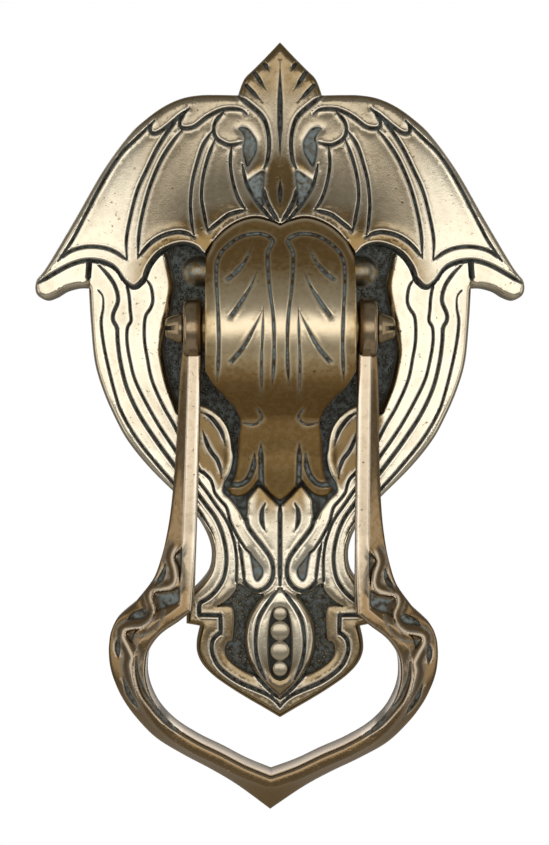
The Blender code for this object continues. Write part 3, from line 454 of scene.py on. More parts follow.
# Wing: rim, ribs and webs, each rib between two grooves
WING_GROOVES = [
    [(31.0, 51.5), (34.4, 48.0), (39.3, 43.1), (43.3, 36.9), (47.8, 28.4), (51.3, 21.7), (54.9, 16.6)],
    [(54.9, 16.6), (51.8, 19.0), (47.8, 20.1), (43.7, 19.9), (40.6, 18.8), (37.7, 16.8)],
    [
        (37.7, 16.8), (37.9, 21.7), (37.0, 27.1), (35.3, 33.8), (33.0, 39.1), (29.9, 45.4), (25.9, 51.2),
        (22.5, 54.3),
    ],
    [(31.0, 51.5), (32.1, 49.8), (31.7, 48.3), (29.9, 48.5), (27.2, 50.5), (25.0, 52.5), (22.5, 54.3)],
    [(35.0, 17.5), (34.8, 23.0), (33.9, 28.4), (32.1, 35.1), (29.5, 41.4), (26.8, 45.8), (24.1, 49.2)],
    [
        (22.5, 54.3), (23.7, 53.0), (24.8, 51.2), (24.3, 49.6), (21.4, 49.8), (18.3, 52.1), (15.6, 53.6),
        (12.9, 54.3), (9.8, 54.1), (8.2, 53.0),
    ],
    [(16.7, 48.9), (19.0, 45.4), (20.5, 40.9), (21.6, 36.4), (22.1, 31.5), (21.9, 27.1), (21.2, 23.0)],
    [(35.0, 17.5), (32.1, 20.8), (29.0, 22.8), (25.4, 23.7), (22.8, 23.3), (21.2, 22.4)],
    [(17.8, 23.9), (18.7, 28.0), (19.4, 32.4), (19.0, 37.3), (17.8, 42.2), (16.1, 46.7)],
    [(17.8, 23.9), (15.6, 25.7), (12.5, 28.0), (8.5, 29.1)],
    [(8.5, 29.1), (10.3, 32.0), (11.6, 36.0), (12.3, 40.5), (12.0, 44.9)],
    [(13.9, 53.6), (15.9, 51.3), (16.4, 48.9), (15.6, 46.9), (13.6, 45.6), (11.9, 45.3), (9.6, 45.9)],
    [(9.4, 40.6), (8.9, 38.1), (8.2, 35.4), (6.9, 32.9), (5.4, 30.6), (3.9, 28.9), (2.4, 27.1), (0.9, 25.9)],
]

# Crest leaf: body groove, foot lobe and three tapering strokes
CREST_GROOVES = [
    [(11.2, 58.0), (7.9, 55.6), (4.5, 52.6), (3.2, 49.6), (2.7, 45.9), (3.0, 42.2), (3.9, 39.6)],
    [(4.2, 34.9), (3.5, 31.9), (1.9, 28.5), (0.5, 26.4)],
]
CREST_STROKES = [
    [(8.4, 60.2), (6.4, 58.1), (4.4, 56.1)],
    [(6.4, 63.5), (4.9, 61.2), (3.5, 59.0)],
    [(3.9, 65.5), (3.3, 64.6), (2.9, 63.7)],
]
CREST_MIDRIB = [(0, 66.5), (0, 60.0), (0, 50.0), (0, 40.0)]
CREST_DROP = [(0, 37.0), (0, 33.5), (0, 30.0)]
SCROLL_RECESS = [
    (10.3, 49.4), (9.4, 49.8), (7.9, 49.4), (6.7, 47.9), (5.8, 46.1), (5.9, 43.6), (6.7, 41.9), (8.1, 39.9),
    (8.9, 41.9), (9.2, 43.9), (9.1, 45.6), (8.8, 46.9), (9.4, 48.4),
]
FOOT_RECESS = [
    (8.1, 36.4), (4.2, 38.9), (3.9, 36.9), (4.2, 34.4), (4.3, 32.6), (3.9, 30.6), (4.9, 30.1), (6.4, 32.4),
    (7.7, 34.9),
]

# Straps: four lines from the wing down behind the arms; the second runs on round the tongue
STRAP_LINE_A = [
    (45.0, 9.4), (43.9, 7.9), (43.8, 5.1), (44.3, 1.6), (43.8, -3.4), (42.7, -9.0), (40.9, -16.2),
    (39.2, -21.1), (35.4, -27.6), (30.4, -33.9), (26.9, -37.9), (20.9, -44.4), (18.2, -48.4), (16.7, -51.1),
    (15.9, -53.4),
]
STRAP_LINE_B = [
    (44.8, 15.6), (42.5, 13.1), (40.8, 10.4), (40.1, 6.9), (41.3, 3.6), (41.3, 1.9), (40.4, 0.1),
    (40.2, -3.4), (39.5, -8.6), (37.9, -14.9), (34.9, -21.4), (30.9, -27.6), (26.9, -33.1), (20.7, -40.9),
    (18.4, -43.9), (16.2, -46.9), (14.7, -50.1), (13.8, -53.4), (13.4, -56.4), (13.5, -59.4), (14.2, -62.4),
    (15.7, -64.9), (17.7, -66.9), (19.7, -68.1),
]
STRAP_LINE_C = [
    (40.4, 14.9), (38.3, 11.7), (37.4, 8.2), (37.1, 4.4), (36.9, 1.9), (37.8, 0.1), (37.9, -3.4),
    (37.1, -8.3), (35.7, -13.4), (31.9, -20.9), (27.9, -27.4), (20.7, -37.4), (18.4, -40.4), (16.2, -43.6),
    (14.2, -46.4), (12.7, -49.1), (11.4, -53.1), (10.9, -56.4), (10.8, -59.6), (10.9, -62.9),
]
STRAP_LINE_D = [
    (33.6, 12.6), (32.0, 10.4), (31.5, 7.1), (32.0, 5.1), (33.4, 2.6), (33.6, -2.6), (32.9, -7.3),
    (31.7, -13.0), (28.9, -19.4), (26.2, -24.1), (20.7, -34.2), (18.9, -35.9), (17.4, -37.4), (16.7, -39.1),
    (16.2, -40.9), (14.9, -42.6), (13.4, -44.4), (12.8, -46.4), (12.3, -48.4), (10.4, -52.1), (8.7, -54.6),
    (7.4, -55.9),
]
TIP_CORNER = [(47.1, 17.0), (47.3, 14.5), (47.5, 12.0)]
TONGUE_BORDER = [
    [(19.7, -68.1), (20.2, -68.9), (20.2, -71.3)],
    [(20.2, -71.3), (14.9, -71.4)],
    [(14.9, -71.4), (14.8, -75.7)],
    [
        (14.8, -75.7), (15.9, -76.5), (16.8, -77.7), (17.1, -79.6), (16.7, -81.6), (15.4, -84.1),
        (12.9, -86.4), (9.7, -88.4), (6.2, -89.9), (2.9, -91.4), (1.0, -93.0), (0, -94.3),
    ],
]

# Below the tail leaf: thin bar, drop loop, leaflets and stem
BAR_LINE = [(10.3, -53.4), (9.7, -56.4), (9.2, -60.1), (8.9, -63.1)]
LOOP_LINE = [
    (8.4, -47.4), (7.9, -49.4), (6.4, -51.6), (4.2, -54.4), (2.4, -57.1), (1.7, -59.9), (2.1, -62.6),
    (3.7, -64.6), (5.9, -65.4), (7.9, -64.4), (8.9, -63.1),
]
LEAFLET_STROKE = [(3.7, -43.6), (4.4, -45.1), (4.6, -47.4), (4.2, -49.1), (3.4, -50.9)]
STEM_LINE = [(0, -43.4), (0, -53.0), (0, -63.8)]
DROP_RECESS = [
    (7.7, -55.3), (6.4, -57.0), (4.9, -58.8), (4.2, -60.2), (4.5, -61.8), (5.6, -62.9), (6.4, -62.1),
    (6.8, -60.2), (7.2, -57.6),
]

# Side leaf beside the tail: its edge to the dark ground and two strokes
LEAF_EDGE = [
    (20.0, -18.9), (17.1, -20.2), (14.2, -23.0), (12.6, -26.4), (12.1, -29.9), (11.8, -31.9), (12.2, -34.4),
    (12.9, -36.4), (13.9, -38.1), (14.4, -39.9), (14.2, -40.9), (12.9, -42.1), (11.4, -43.9), (10.2, -45.6),
    (9.4, -47.2), (8.6, -48.0), (8.2, -46.6), (8.0, -44.5), (7.9, -42.7), (6.9, -41.2), (5.8, -39.7),
    (5.2, -39.2), (4.4, -39.9), (3.2, -41.2), (1.6, -42.8), (0, -44.4),
]
LEAF_BODY = [
    (20.0, -18.9), (17.1, -20.2), (14.2, -23.0), (12.6, -26.4), (11.8, -31.9), (12.9, -36.4), (14.4, -39.9),
    (16.4, -40.5), (17.4, -37.4), (20.7, -34.2), (26.2, -24.1), (24.7, -20.6),
]
LEAF_STROKES = [
    [(19.4, -20.9), (17.4, -21.9), (15.7, -23.9), (14.4, -26.1), (13.7, -28.9)],
    [(19.2, -25.4), (18.4, -28.1), (17.2, -30.6), (15.7, -32.6), (14.9, -34.9), (14.7, -36.9)],
]
STRAP_INNER_EDGE = [
    (28.6, 21.0), (27.5, 16.0), (26.5, 10.6), (27.2, 5.6), (28.3, 0.0), (29.1, -5.0), (28.7, -8.6),
    (27.3, -14.6), (24.7, -20.6),
]

# Tongue: sunk ground, pod, its lens line and the cavity that holds the pearls
TONGUE_GROUND = [
    (10.9, -63.4), (9.2, -63.9), (8.1, -65.1), (6.1, -66.0), (4.2, -66.0), (4.2, -66.8), (5.9, -69.2),
    (7.7, -72.4), (8.3, -75.6), (8.3, -78.1), (7.8, -81.4), (6.5, -84.6), (4.6, -87.2), (7.5, -86.2),
    (10.4, -84.7), (12.7, -82.9), (13.7, -81.1), (13.8, -79.4), (13.1, -78.0), (11.9, -77.0), (11.9, -69.6),
    (15.9, -69.3), (14.4, -68.4), (12.4, -66.6), (11.2, -64.9),
]
POD_RUN = [
    (0, -63.9), (2.6, -65.4), (4.6, -66.7), (6.4, -69.0), (8.2, -72.2), (8.9, -75.6), (8.9, -78.1),
    (8.3, -81.6), (7.0, -84.9), (5.0, -87.6), (2.4, -90.4), (0, -92.4),
]
POD_LENS = [
    (0.2, -64.6), (1.9, -66.6), (4.0, -69.6), (5.4, -72.4), (6.0, -75.6), (6.1, -78.9), (5.7, -81.9),
    (4.9, -84.6), (3.6, -87.4),
]
POD_CAVITY = [
    (0, -68.8), (1.7, -69.5), (2.5, -71.4), (3.0, -74.4), (3.2, -78.4), (3.1, -82.4), (2.6, -85.4),
    (1.6, -87.1), (0, -87.7),
]
PEARLS = [(-70.9, 1.85), (-75.3, 2.55), (-80.3, 2.55), (-84.8, 1.95)]  # up, radius

# Stop lug that grows out from under the barrel, above the eye: where it rounds off, and half axes
LUG_MIDDLE = (20.2, 14.3)
LUG_AXES = (4.6, 4.4)

# Barrel and tail leaf
BARREL_RUNS = [
    BARREL_TOP,
    [(16.3, 21.2), (18.0, 17.0)],
    [(18.0, 17.0), (18.0, -10.4)],
    [(18.0, -10.4), (15.9, -14.1), (13.6, -16.6), (10.9, -19.9), (9.7, -23.4)],
    [(9.7, -23.4), (10.4, -28.0), (10.6, -32.4), (11.2, -36.4), (12.2, -38.6), (13.1, -40.0)],
    [(13.1, -40.0), (12.4, -41.2), (10.7, -41.9), (8.6, -41.4), (6.7, -39.5), (5.4, -37.8)],
    [(5.4, -37.8), (4.0, -39.3), (2.2, -41.4), (0, -43.0)],
]
BARREL_PROFILE_TOP = [(29.0, 8.9), (26.5, 9.4), (22.6, 11.6), (17.6, 16.9)]  # up, height
BARREL_PROFILE_FOOT = [(-14.6, 19.8), (-18.8, 15.0), (-22.8, 11.0), (-28.0, 8.5), (-36.0, 7.2), (-45.0, 5.2)]
BARREL_ARC = (40, 20, 0, -20, -40)  # degrees from straight ahead
BARREL_FRAME_LINE = [
    (15.2, -13.0), (14.7, -4.5), (14.9, 4.0), (15.4, 12.0), (15.1, 16.7), (12.9, 20.0), (9.0, 22.6),
    (4.6, 23.1), (1.9, 21.6), (2.4, 19.8), (3.1, 17.7), (2.75, 10.5), (1.75, 2.0), (1.6, -6.6), (2.0, -14.0),
]
BARREL_SECOND_LINE = [(4.1, 5.0), (4.35, -2.3), (4.6, -8.7), (4.5, -17.3)]
BARREL_FEATHERS = [
    [(6.9, 20.0), (8.1, 17.0), (9.8, 14.3), (12.6, 11.6)],
    [(5.4, 14.4), (6.9, 10.4), (9.1, 6.5), (11.7, 2.8)],
    [(4.1, 4.6), (6.2, 0.2), (8.6, -4.2), (11.7, -8.0)],
]
NECK_HOOK = [(9.2, -23.3), (6.7, -23.8), (5.0, -22.9), (4.5, -21.8), (5.0, -20.6), (6.2, -19.2)]
TAIL_GROOVES = [
    [(4.75, -28.6), (4.75, -33.1), (4.7, -36.0), (4.6, -38.6)],
    [(6.3, -30.9), (6.6, -34.1), (7.5, -36.6), (8.8, -38.2), (10.3, -38.9), (11.9, -38.8)],
]

# Knocker: inner and outer edge, measured out from the arm's inside; the ring's run starts at a corner
ARM_INNER = [
    (0, -2.0), (0, -12.0), (0.1, -24.0), (0.2, -36.0), (0.3, -46.0), (0.4, -53.0), (0.5, -59.0), (0.6, -64.4),
    (0.8, -69.4),
]
ARM_OUTER = [
    (4.4, -2.0), (5.2, -12.0), (5.6, -24.0), (6.1, -35.7), (6.8, -45.0), (7.7, -51.5), (8.9, -57.0),
    (10.9, -62.6), (15.0, -68.2),
]
RING_INNER = [
    (0.8, -69.4), (4.2, -72.2), (7.6, -74.6), (9.8, -76.9), (11.4, -79.8), (11.9, -82.8), (11.8, -86.2),
    (10.7, -90.0), (8.4, -94.0), (4.4, -97.9), (-1.2, -101.3), (-7.0, -104.0), (-13.0, -107.0),
    (-19.2, -109.4),
]
RING_OUTER = [
    (15.0, -68.2), (19.2, -72.0), (20.8, -75.2), (21.3, -78.4), (21.3, -81.2), (20.9, -84.2), (19.9, -87.4),
    (17.9, -91.6), (14.6, -96.2), (9.4, -101.4), (2.5, -105.5), (-4.4, -109.0), (-11.0, -112.8),
    (-19.2, -118.6),
]

# Vine on the ring's slope, on the knocker's own centre line: sunk pockets and cut lines
VINE_POCKETS = [
    [
        (23.0, -51.5), (23.3, -54.5), (24.8, -56.0), (24.7, -57.4), (23.9, -58.6), (23.5, -60.7),
        (23.2, -63.0), (22.9, -58.0),
    ],
    [
        (23.3, -63.9), (23.2, -66.3), (23.6, -67.5), (26.0, -68.7), (28.0, -69.5), (29.2, -70.9),
        (29.7, -71.1), (28.9, -69.0), (29.7, -67.3), (29.7, -65.8), (28.9, -65.0), (27.5, -64.9),
        (25.5, -64.5), (24.1, -63.8),
    ],
    [
        (31.8, -73.7), (33.5, -74.7), (34.5, -76.7), (34.5, -77.7), (35.7, -76.7), (36.3, -75.5),
        (35.9, -74.7), (34.2, -74.2),
    ],
    [(32.2, -69.2), (30.7, -70.2), (31.7, -71.6), (34.3, -72.1), (36.0, -72.1), (34.6, -70.4)],
]
VINE_STEM = [
    (23.7, -51.3), (23.9, -53.5), (24.9, -55.4), (25.2, -57.1), (24.4, -59.6), (24.2, -62.0), (25.2, -63.7),
    (27.6, -64.4), (29.7, -64.9), (30.2, -66.3), (29.4, -68.3), (29.2, -69.7), (30.0, -71.7), (32.1, -73.4),
    (35.2, -74.1), (36.7, -75.1), (36.6, -76.8), (35.3, -79.0), (34.5, -80.9), (34.9, -83.3), (33.9, -87.4),
    (32.6, -90.4), (30.8, -93.0), (28.4, -95.9), (25.5, -98.6), (22.3, -101.0),
]
VINE_LINES = [
    [
        (33.4, -80.6), (33.3, -84.0), (32.6, -87.0), (31.4, -89.9), (29.6, -92.4), (27.2, -95.2),
        (24.4, -97.8), (20.4, -100.6),
    ],
    [(27.1, -58.6), (27.4, -60.7), (28.3, -62.4), (29.6, -64.0)],
    [(38.0, -76.5), (38.3, -78.9), (38.0, -81.8)],
    [(36.6, -87.0), (35.3, -90.0), (33.5, -92.7), (32.2, -94.4)],
]


# Curves and distances

def smooth(value):
    """Eases from 0 to 1."""
    value = np.clip(value, 0, 1)
    return value * value * (3 - 2 * value)


def ramp(value, zone):
    """Eases from 0 at a zone's first value to 1 at its second."""
    start, full = zone
    return smooth((value - start) / (full - start))


def bell(value, middle, width):
    """A soft bump, 1 high at its middle."""
    return np.exp(-((value - middle) / width) ** 2)


def curve(points, spacing=LINE_STEP):
    """Evenly spaced points on a smooth curve through the drawn ones."""
    points = np.array(points, float)
    fine = points
    if len(points) > 2:
        held = np.vstack([points[:1], points, points[-1:]])
        t = np.linspace(0, 1, CURVE_FINENESS, endpoint=False)[:, None]
        spans = [
            0.5 * (2 * b + (c - a) * t + (2 * a - 5 * b + 4 * c - d) * t**2 + (3 * b - a - 3 * c + d) * t**3)
            for a, b, c, d in zip(held, held[1:], held[2:], held[3:])
        ]
        fine = np.vstack([*spans, points[-1:]])
    along = np.concatenate([[0], np.cumsum(np.linalg.norm(np.diff(fine, axis=0), axis=1))])
    even = np.linspace(0, along[-1], max(round(along[-1] / spacing), 2) + 1)
    return np.column_stack([np.interp(even, along, fine[:, axis]) for axis in (0, 1)])


def joined(runs, spacing=LINE_STEP):
    """One line from runs that meet at corners."""
    lines = [curve(run, spacing) for run in runs]
    return np.vstack([*[line[:-1] for line in lines[:-1]], lines[-1]])


def both_halves(right_half):
    """Closed outline from a right half that starts and ends on the centre line."""
    return np.vstack([right_half, right_half[-2:0:-1] * (-1, 1)])


def loop(points):
    """Closed smooth outline through drawn points."""
    return curve([*points, points[0]])[:-1]


def on_right(points):
    """The points with those of the left half mirrored to the right."""
    return np.column_stack([np.abs(points[:, 0]), points[:, 1]])


def nearest(line, points, closed=False):
    """Distance from each point to a line, and where along the line it is nearest, from 0 to 1."""
    tree = kdtree.KDTree(len(line))
    for index, (x, z) in enumerate(line):
        tree.insert((x, z, 0), index)
    tree.balance()
    found = np.array([tree.find((x, z, 0))[1] for x, z in points], int)
    best = np.full(len(points), np.inf)
    place = np.zeros(len(points))
    last = len(line) - 1
    for step in (-1, 0):
        first = (found + step) % len(line) if closed else np.clip(found + step, 0, last - 1)
        start = line[first]
        edge = line[(first + 1) % len(line)] - start
        t = ((points - start) * edge).sum(1) / np.maximum((edge**2).sum(1), TINY)
        t = np.clip(t, 0, 1)
        distance = np.linalg.norm(points - start - edge * t[:, None], axis=1)
        closer = distance < best
        best[closer] = distance[closer]
        place[closer] = (first + t)[closer] / last
    return best, place


def inside(outline, points):
    """Which points lie within a closed outline."""
    x, z = points.T
    found = np.zeros(len(points), bool)
    for (x1, z1), (x2, z2) in zip(outline, np.roll(outline, -1, axis=0)):
        if z1 != z2:
            crossing = (z1 > z) != (z2 > z)
            found ^= crossing & (x < (x2 - x1) * (z - z1) / (z2 - z1) + x1)
    return found


def depth_inside(outline, points):
    """Distance to a closed outline, positive inside it and negative outside."""
    distance, _ = nearest(outline, points, closed=True)
    return np.where(inside(outline, points), distance, -distance)


def near_box(line, points, reach):
    """Indices of the points within reach of the box round a line."""
    return np.flatnonzero(((points > line.min(0) - reach) & (points < line.max(0) + reach)).all(1))


def offset_rows(line, offsets, closed=False):
    """Copies of a line moved sideways; each offset is one number or one for each point."""
    ahead = np.roll(line, -1, axis=0) - np.roll(line, 1, axis=0) if closed else np.gradient(line, axis=0)
    side = np.column_stack([-ahead[:, 1], ahead[:, 0]])
    side /= np.maximum(np.linalg.norm(side, axis=1), TINY)[:, None]
    return [line + side * np.reshape(offset, (-1, 1)) for offset in offsets]


class Groove(NamedTuple):
    """A cut line with its half width at each point, and the share of the full lip that it has."""
    line: np.ndarray
    half_widths: np.ndarray
    depth: float
    lip: float


def groove(line, width=GROOVE_WIDTH, depth=GROOVE_DEPTH, start=0.45, end=0.45, taper=0.15, lip=1.0):
    """A groove whose width falls to a share of itself at its start and its end."""
    line = np.asarray(line)
    along = np.linspace(0, 1, len(line))
    opening = start + (1 - start) * smooth(along / taper)
    closing = end + (1 - end) * smooth((1 - along) / taper)
    return Groove(line, width / 2 * opening * closing, depth, lip)


def grooves_on(lines, **settings):
    """The same kind of groove on each of some drawn lines."""
    return [groove(curve(points), **settings) for points in lines]


def groove_rows(grooves):
    """Rows of points that follow the section of each groove."""
    rows = []
    for cut in grooves:
        rows += offset_rows(cut.line, [share * cut.half_widths for share in GROOVE_ROWS])
    return rows


def cut_grooves(points, grooves):
    """How deep the grooves are at each point, how dark they are there, and where their raised lips run."""
    drop = np.zeros(len(points))
    dark = np.zeros(len(points))
    lip = np.zeros(len(points))
    for cut in grooves:
        near = near_box(cut.line, points, GROOVE_REACH)
        if not len(near):
            continue
        distance, along = nearest(cut.line, points[near])
        half = np.interp(along, np.linspace(0, 1, len(cut.line)), cut.half_widths)
        ratio = distance / np.maximum(half, NARROWEST)
        share = half / cut.half_widths.max()
        notch = cut.depth * share * ramp(ratio, NOTCH_WALL)
        shoulder = SHOULDER_DROP * share * bell(distance, 0, SHOULDER_WIDTH)
        drop[near] = np.maximum(drop[near], notch + shoulder)
        dark[near] = np.maximum(dark[near], smooth(DARK_SHARE * share) * ramp(ratio, NOTCH_DARK))
        beside = bell(distance, half + LIP_AWAY, LIP_WIDTH)
        lip[near] = np.maximum(lip[near], cut.lip * smooth(LIP_SHARE * share) * beside)
    lip *= 1 - dark
    return drop - LIP_RISE * lip, dark, lip


def sink(height, points, outline, level, wall=RECESS_WALL):
    """Sinks the surface to a level within an outline, with a rounded lip; returns how far it is sunk."""
    sunk = np.zeros(len(points))
    near = near_box(outline, points, RECESS_REACH)
    if len(near):
        depth = depth_inside(outline, points[near])
        height[near] -= RECESS_SHOULDER * bell(np.minimum(depth, 0), 0, RECESS_SHOULDER_WIDTH)
        sunk[near] = smooth((depth + RECESS_OVERLAP) / wall)
        height[near] += (level - height[near]) * sunk[near]
    return sunk


def edge_roll(distance, width):
    """Share of the full height at a distance in from an edge that rolls over."""
    away = np.clip(1 - distance / width, 0, 1)
    return (1 - away**ROLL_POWER) ** (1 / ROLL_POWER)


def cells(points, size):
    """One whole number for the square of a grid that each point lies in."""
    grid = np.floor(points / size).astype(np.int64) + CELL_ORIGIN
    return grid[:, 0] * CELL_STRIDE + grid[:, 1]


def relief_points(rim, rows, patches=()):
    """Points inside a rim that is the same on both sides: rows along drawn lines, and a grid between them."""
    rows = np.vstack(rows)
    rows = rows[rows[:, 0] > -ROW_GAP]
    rows[np.abs(rows[:, 0]) < ROW_GAP, 0] = 0
    _, first = np.unique(cells(rows, ROW_GAP), return_index=True)
    rows = rows[np.sort(first)]
    grid = hex_grid(GRID_STEP, (0, rim[:, 1].min()), rim.max(0))
    grid = np.vstack([*patches, grid])
    clear = ~np.isin(cells(grid, GRID_CLEARANCE), cells(rows, GRID_CLEARANCE))
    right_half = np.vstack([rows, grid[clear]])
    left_half = right_half[right_half[:, 0] > 0] * (-1, 1)
    points = np.vstack([right_half, left_half])
    points = points[inside(rim, points)]
    distance, _ = nearest(rim, points, closed=True)
    return points[distance > RIM_CLEARANCE]


def hex_grid(step, low, high):
    """Points of a triangular grid between two corners."""
    rows = []
    for count, up in enumerate(np.arange(low[1], high[1], step * math.sqrt(3) / 2)):
        across = np.arange(low[0] + step / 2 * (count % 2), high[0], step)
        rows.append(np.column_stack([across, np.full(len(across), up)]))
    return np.vstack(rows)


# Meshes

def triangulated(loops, points=NO_POINTS):
    """Vertices and triangles between closed loops and loose points, and the vertex of each loop point."""
    edges = []
    start = 0
    for outline in loops:
        count = len(outline)
        edges += [(start + i, start + (i + 1) % count) for i in range(count)]
        start += count
    everything = [Vector(point) for point in np.vstack([*loops, points])]
    found = delaunay_2d_cdt(everything, edges, [], KEEP_INSIDE, MERGE_DISTANCE)
    place = {source: vertex for vertex, sources in enumerate(found[3]) for source in sources}
    return np.array([tuple(point) for point in found[0]]), found[2], [place[i] for i in range(start)]


def linked(name, data):
    """A new object in the scene."""
    item = bpy.data.objects.new(name, data)
    bpy.context.scene.collection.objects.link(item)
    return item


def finished(name, mesh, material, sharp=50):
    """An object from a mesh, with its faces turned outwards and its edges smooth up to an angle."""
    data = bmesh.new()
    data.from_mesh(mesh)
    bmesh.ops.recalc_face_normals(data, faces=data.faces)
    data.to_mesh(mesh)
    data.free()
    mesh.materials.clear()
    mesh.materials.append(material)
    mesh.shade_smooth()
    mesh.set_sharp_from_angle(angle=math.radians(sharp))
    return linked(name, mesh)


def mesh_from(name, points, faces):
    """A mesh from points in millimetres."""
    mesh = bpy.data.meshes.new(name)
    mesh.from_pydata([tuple(point) for point in np.asarray(points) * MM], [], faces)
    return mesh


def leaning(points, angle):
    """Points turned about the pin, as seen from the front."""
    x, y, z = points.T
    cos = math.cos(angle)
    sin = math.sin(angle)
    return np.column_stack([x * cos + z * sin, y, z * cos - x * sin])


def wall_between(first, second):
    """Four-sided faces between two closed rows of vertices."""
    count = len(first)
    return [[first[i], first[(i + 1) % count], second[(i + 1) % count], second[i]] for i in range(count)]


def raised(flat, heights):
    """Points in space from points on the drawing and their heights."""
    return np.column_stack([flat[:, 0], -np.broadcast_to(heights, len(flat)), flat[:, 1]])


def set_marks(item, marks):
    """Stores the marks of each vertex, or one set of marks for all, for the brass to read."""
    stored = item.data.attributes.new("relief", "FLOAT_COLOR", "POINT")
    marks = np.broadcast_to(marks, (len(item.data.vertices), 4))
    stored.data.foreach_set("color", marks.astype(np.float32).ravel())
    return item


def casting(name, rim, points, relief, back, material, holes=(), lean=0.0, back_patina=PLATE_BACK_PATINA):
    """Closed casting: a relief in front, a plain back with blind holes, and a wall along the rim."""
    flat, front_faces, rim_front = triangulated([rim], points)
    heights, marks = relief(flat)
    back_flat, back_faces, back_loops = triangulated([rim, *holes])
    middles = np.array([back_flat[list(face)].mean(0) for face in back_faces])
    solid = np.ones(len(back_faces), bool)
    for hole in holes:
        solid &= ~inside(hole, middles)
    base = len(flat)
    verts = [raised(flat, heights), raised(back_flat, back(back_flat))]
    faces = [list(face) for face in front_faces]
    faces += [[base + i for i in reversed(back_faces[index])] for index in np.flatnonzero(solid)]
    back_loops = [base + i for i in back_loops]
    used = len(rim)
    faces += wall_between(rim_front, back_loops[:used])
    total = base + len(back_flat)
    for hole in holes:
        edge = back_loops[used:used + len(hole)]
        floor = list(range(total, total + len(hole)))
        verts.append(raised(hole, SCREW_HOLE_DEPTH))
        faces += [*wall_between(edge, floor), floor]
        used += len(hole)
        total += len(hole)
    item = finished(name, mesh_from(name, leaning(np.vstack(verts), lean), faces), material)
    behind = np.tile((back_patina, 0, BACK_TARNISH, 0), (total - base, 1))
    return set_marks(item, np.vstack([marks, behind]))


def circle(middle, radius, sides=32):
    """Points on a circle, the first one straight to the right."""
    angles = np.linspace(0, 2 * math.pi, sides, endpoint=False)
    return np.array(middle) + radius * np.column_stack([np.cos(angles), np.sin(angles)])


def turned(name, profile, material, sides=64, side=1):
    """Closed piece turned about the pin from (along, radius) points, with flat ends."""
    rings = []
    for along, radius in profile:
        ring = circle((0, 0), radius, sides)
        rings.append(np.column_stack([np.full(sides, side * along), ring[:, 0] - PIN_HEIGHT, ring[:, 1]]))
    rows = [[row * sides + i for i in range(sides)] for row in range(len(profile))]
    faces = []
    for row, following in zip(rows, rows[1:]):
        faces += wall_between(row, following)
    faces += [rows[0], rows[-1]]
    return finished(name, mesh_from(name, np.vstack(rings), faces), material, sharp=TURNED_SHARP)


# Backplate

def wing_level(across, up):
    """Height of the wings and the crest: leaning back at the top, rising towards the barrel."""
    from_barrel = np.hypot(across * WING_LIFT_SQUEEZE, up - WING_LIFT_UP)
    lift = WING_LIFT * bell(from_barrel, WING_LIFT_AWAY, WING_LIFT_WIDTH)
    return WING_HEIGHT + lift - WING_FALL * ramp(up, WING_FALL_ZONE)


PLATE_HALF = joined(PLATE_RUNS)
PLATE_RIM = both_halves(PLATE_HALF)
WING_FOOT = joined([SCALLOP, [SCALLOP[-1], BARREL_TOP[-1]], BARREL_TOP[::-1]])
WING_SHAPE = np.vstack([
    joined([PLATE_RUNS[0], [*PLATE_RUNS[1][:WING_RIM_POINTS], SCALLOP[0]]]), WING_FOOT, WING_CLOSING,
])
GROUND_SHAPE = both_halves(joined([
    [GROUND_TOP[0], GROUND_TOP[1]], [GROUND_TOP[1], STRAP_INNER_EDGE[0]], STRAP_INNER_EDGE,
    [STRAP_INNER_EDGE[-1], LEAF_EDGE[0]], LEAF_EDGE,
]))
SIDE_GROUND = np.vstack([
    curve(STRAP_INNER_EDGE), curve(LEAF_EDGE[:SIDE_GROUND_LEAF_POINTS]), SIDE_GROUND_CLOSING,
])
POD_SHAPE = both_halves(curve(POD_RUN))
CAVITY_SHAPE = both_halves(curve(POD_CAVITY))
LEAF_SHAPE = loop(LEAF_BODY)
LEAF_FOOT = curve(LEAF_EDGE)
TONGUE_GROUND_SHAPE = loop(TONGUE_GROUND)
BLUE_RECESSES = [  # outline, depth
    (loop(SCROLL_RECESS), 1.3), (loop(FOOT_RECESS), 1.1), (loop(DROP_RECESS), 1.3),
]
PLATE_GROOVES = [
    *grooves_on(WING_GROOVES),
    *grooves_on(CREST_GROOVES, width=0.95, start=0.2),
    *grooves_on(CREST_STROKES, width=0.9, start=0.9, end=0.15, taper=0.6, lip=0.2),
    *grooves_on([CREST_MIDRIB], width=1.2, start=0.1, end=0.1, taper=0.45, lip=0.4),
    *grooves_on([CREST_DROP], width=0.9, start=0.2, end=0.2, taper=0.5, lip=0.4),
    *grooves_on([BARREL_TOP], width=0.6, depth=0.3),
    *grooves_on([POD_RUN[POD_POINT_FROM:]], width=0.7, depth=0.6),
    *grooves_on([STRAP_LINE_A], width=STRAP_LINE_WIDTH, end=0.15),
    groove(np.vstack([curve(STRAP_LINE_B)[:-1], joined(TONGUE_BORDER)]), width=0.8, end=0.6, taper=0.03),
    *grooves_on([STRAP_LINE_C], width=STRAP_LINE_WIDTH, end=1.0, taper=0.05),
    *grooves_on([STRAP_LINE_D], width=STRAP_LINE_WIDTH, end=0.8, taper=0.05),
    *grooves_on([TIP_CORNER], width=1.2, depth=1.6),
    *grooves_on([SCALLOP], width=0.9, depth=0.7, taper=0.05),
    *grooves_on([BAR_LINE], width=0.7),
    *grooves_on([LOOP_LINE], width=0.95, start=1.0, end=1.0),
    *grooves_on([LEAFLET_STROKE], width=1.0, start=0.3, end=0.1, taper=0.4),
    *grooves_on([STEM_LINE], width=1.0, end=0.6),
    *grooves_on([POD_LENS], width=0.9, depth=0.7),
    *grooves_on(LEAF_STROKES, width=0.7, depth=0.5, start=0.2, end=0.2, taper=0.3),
]


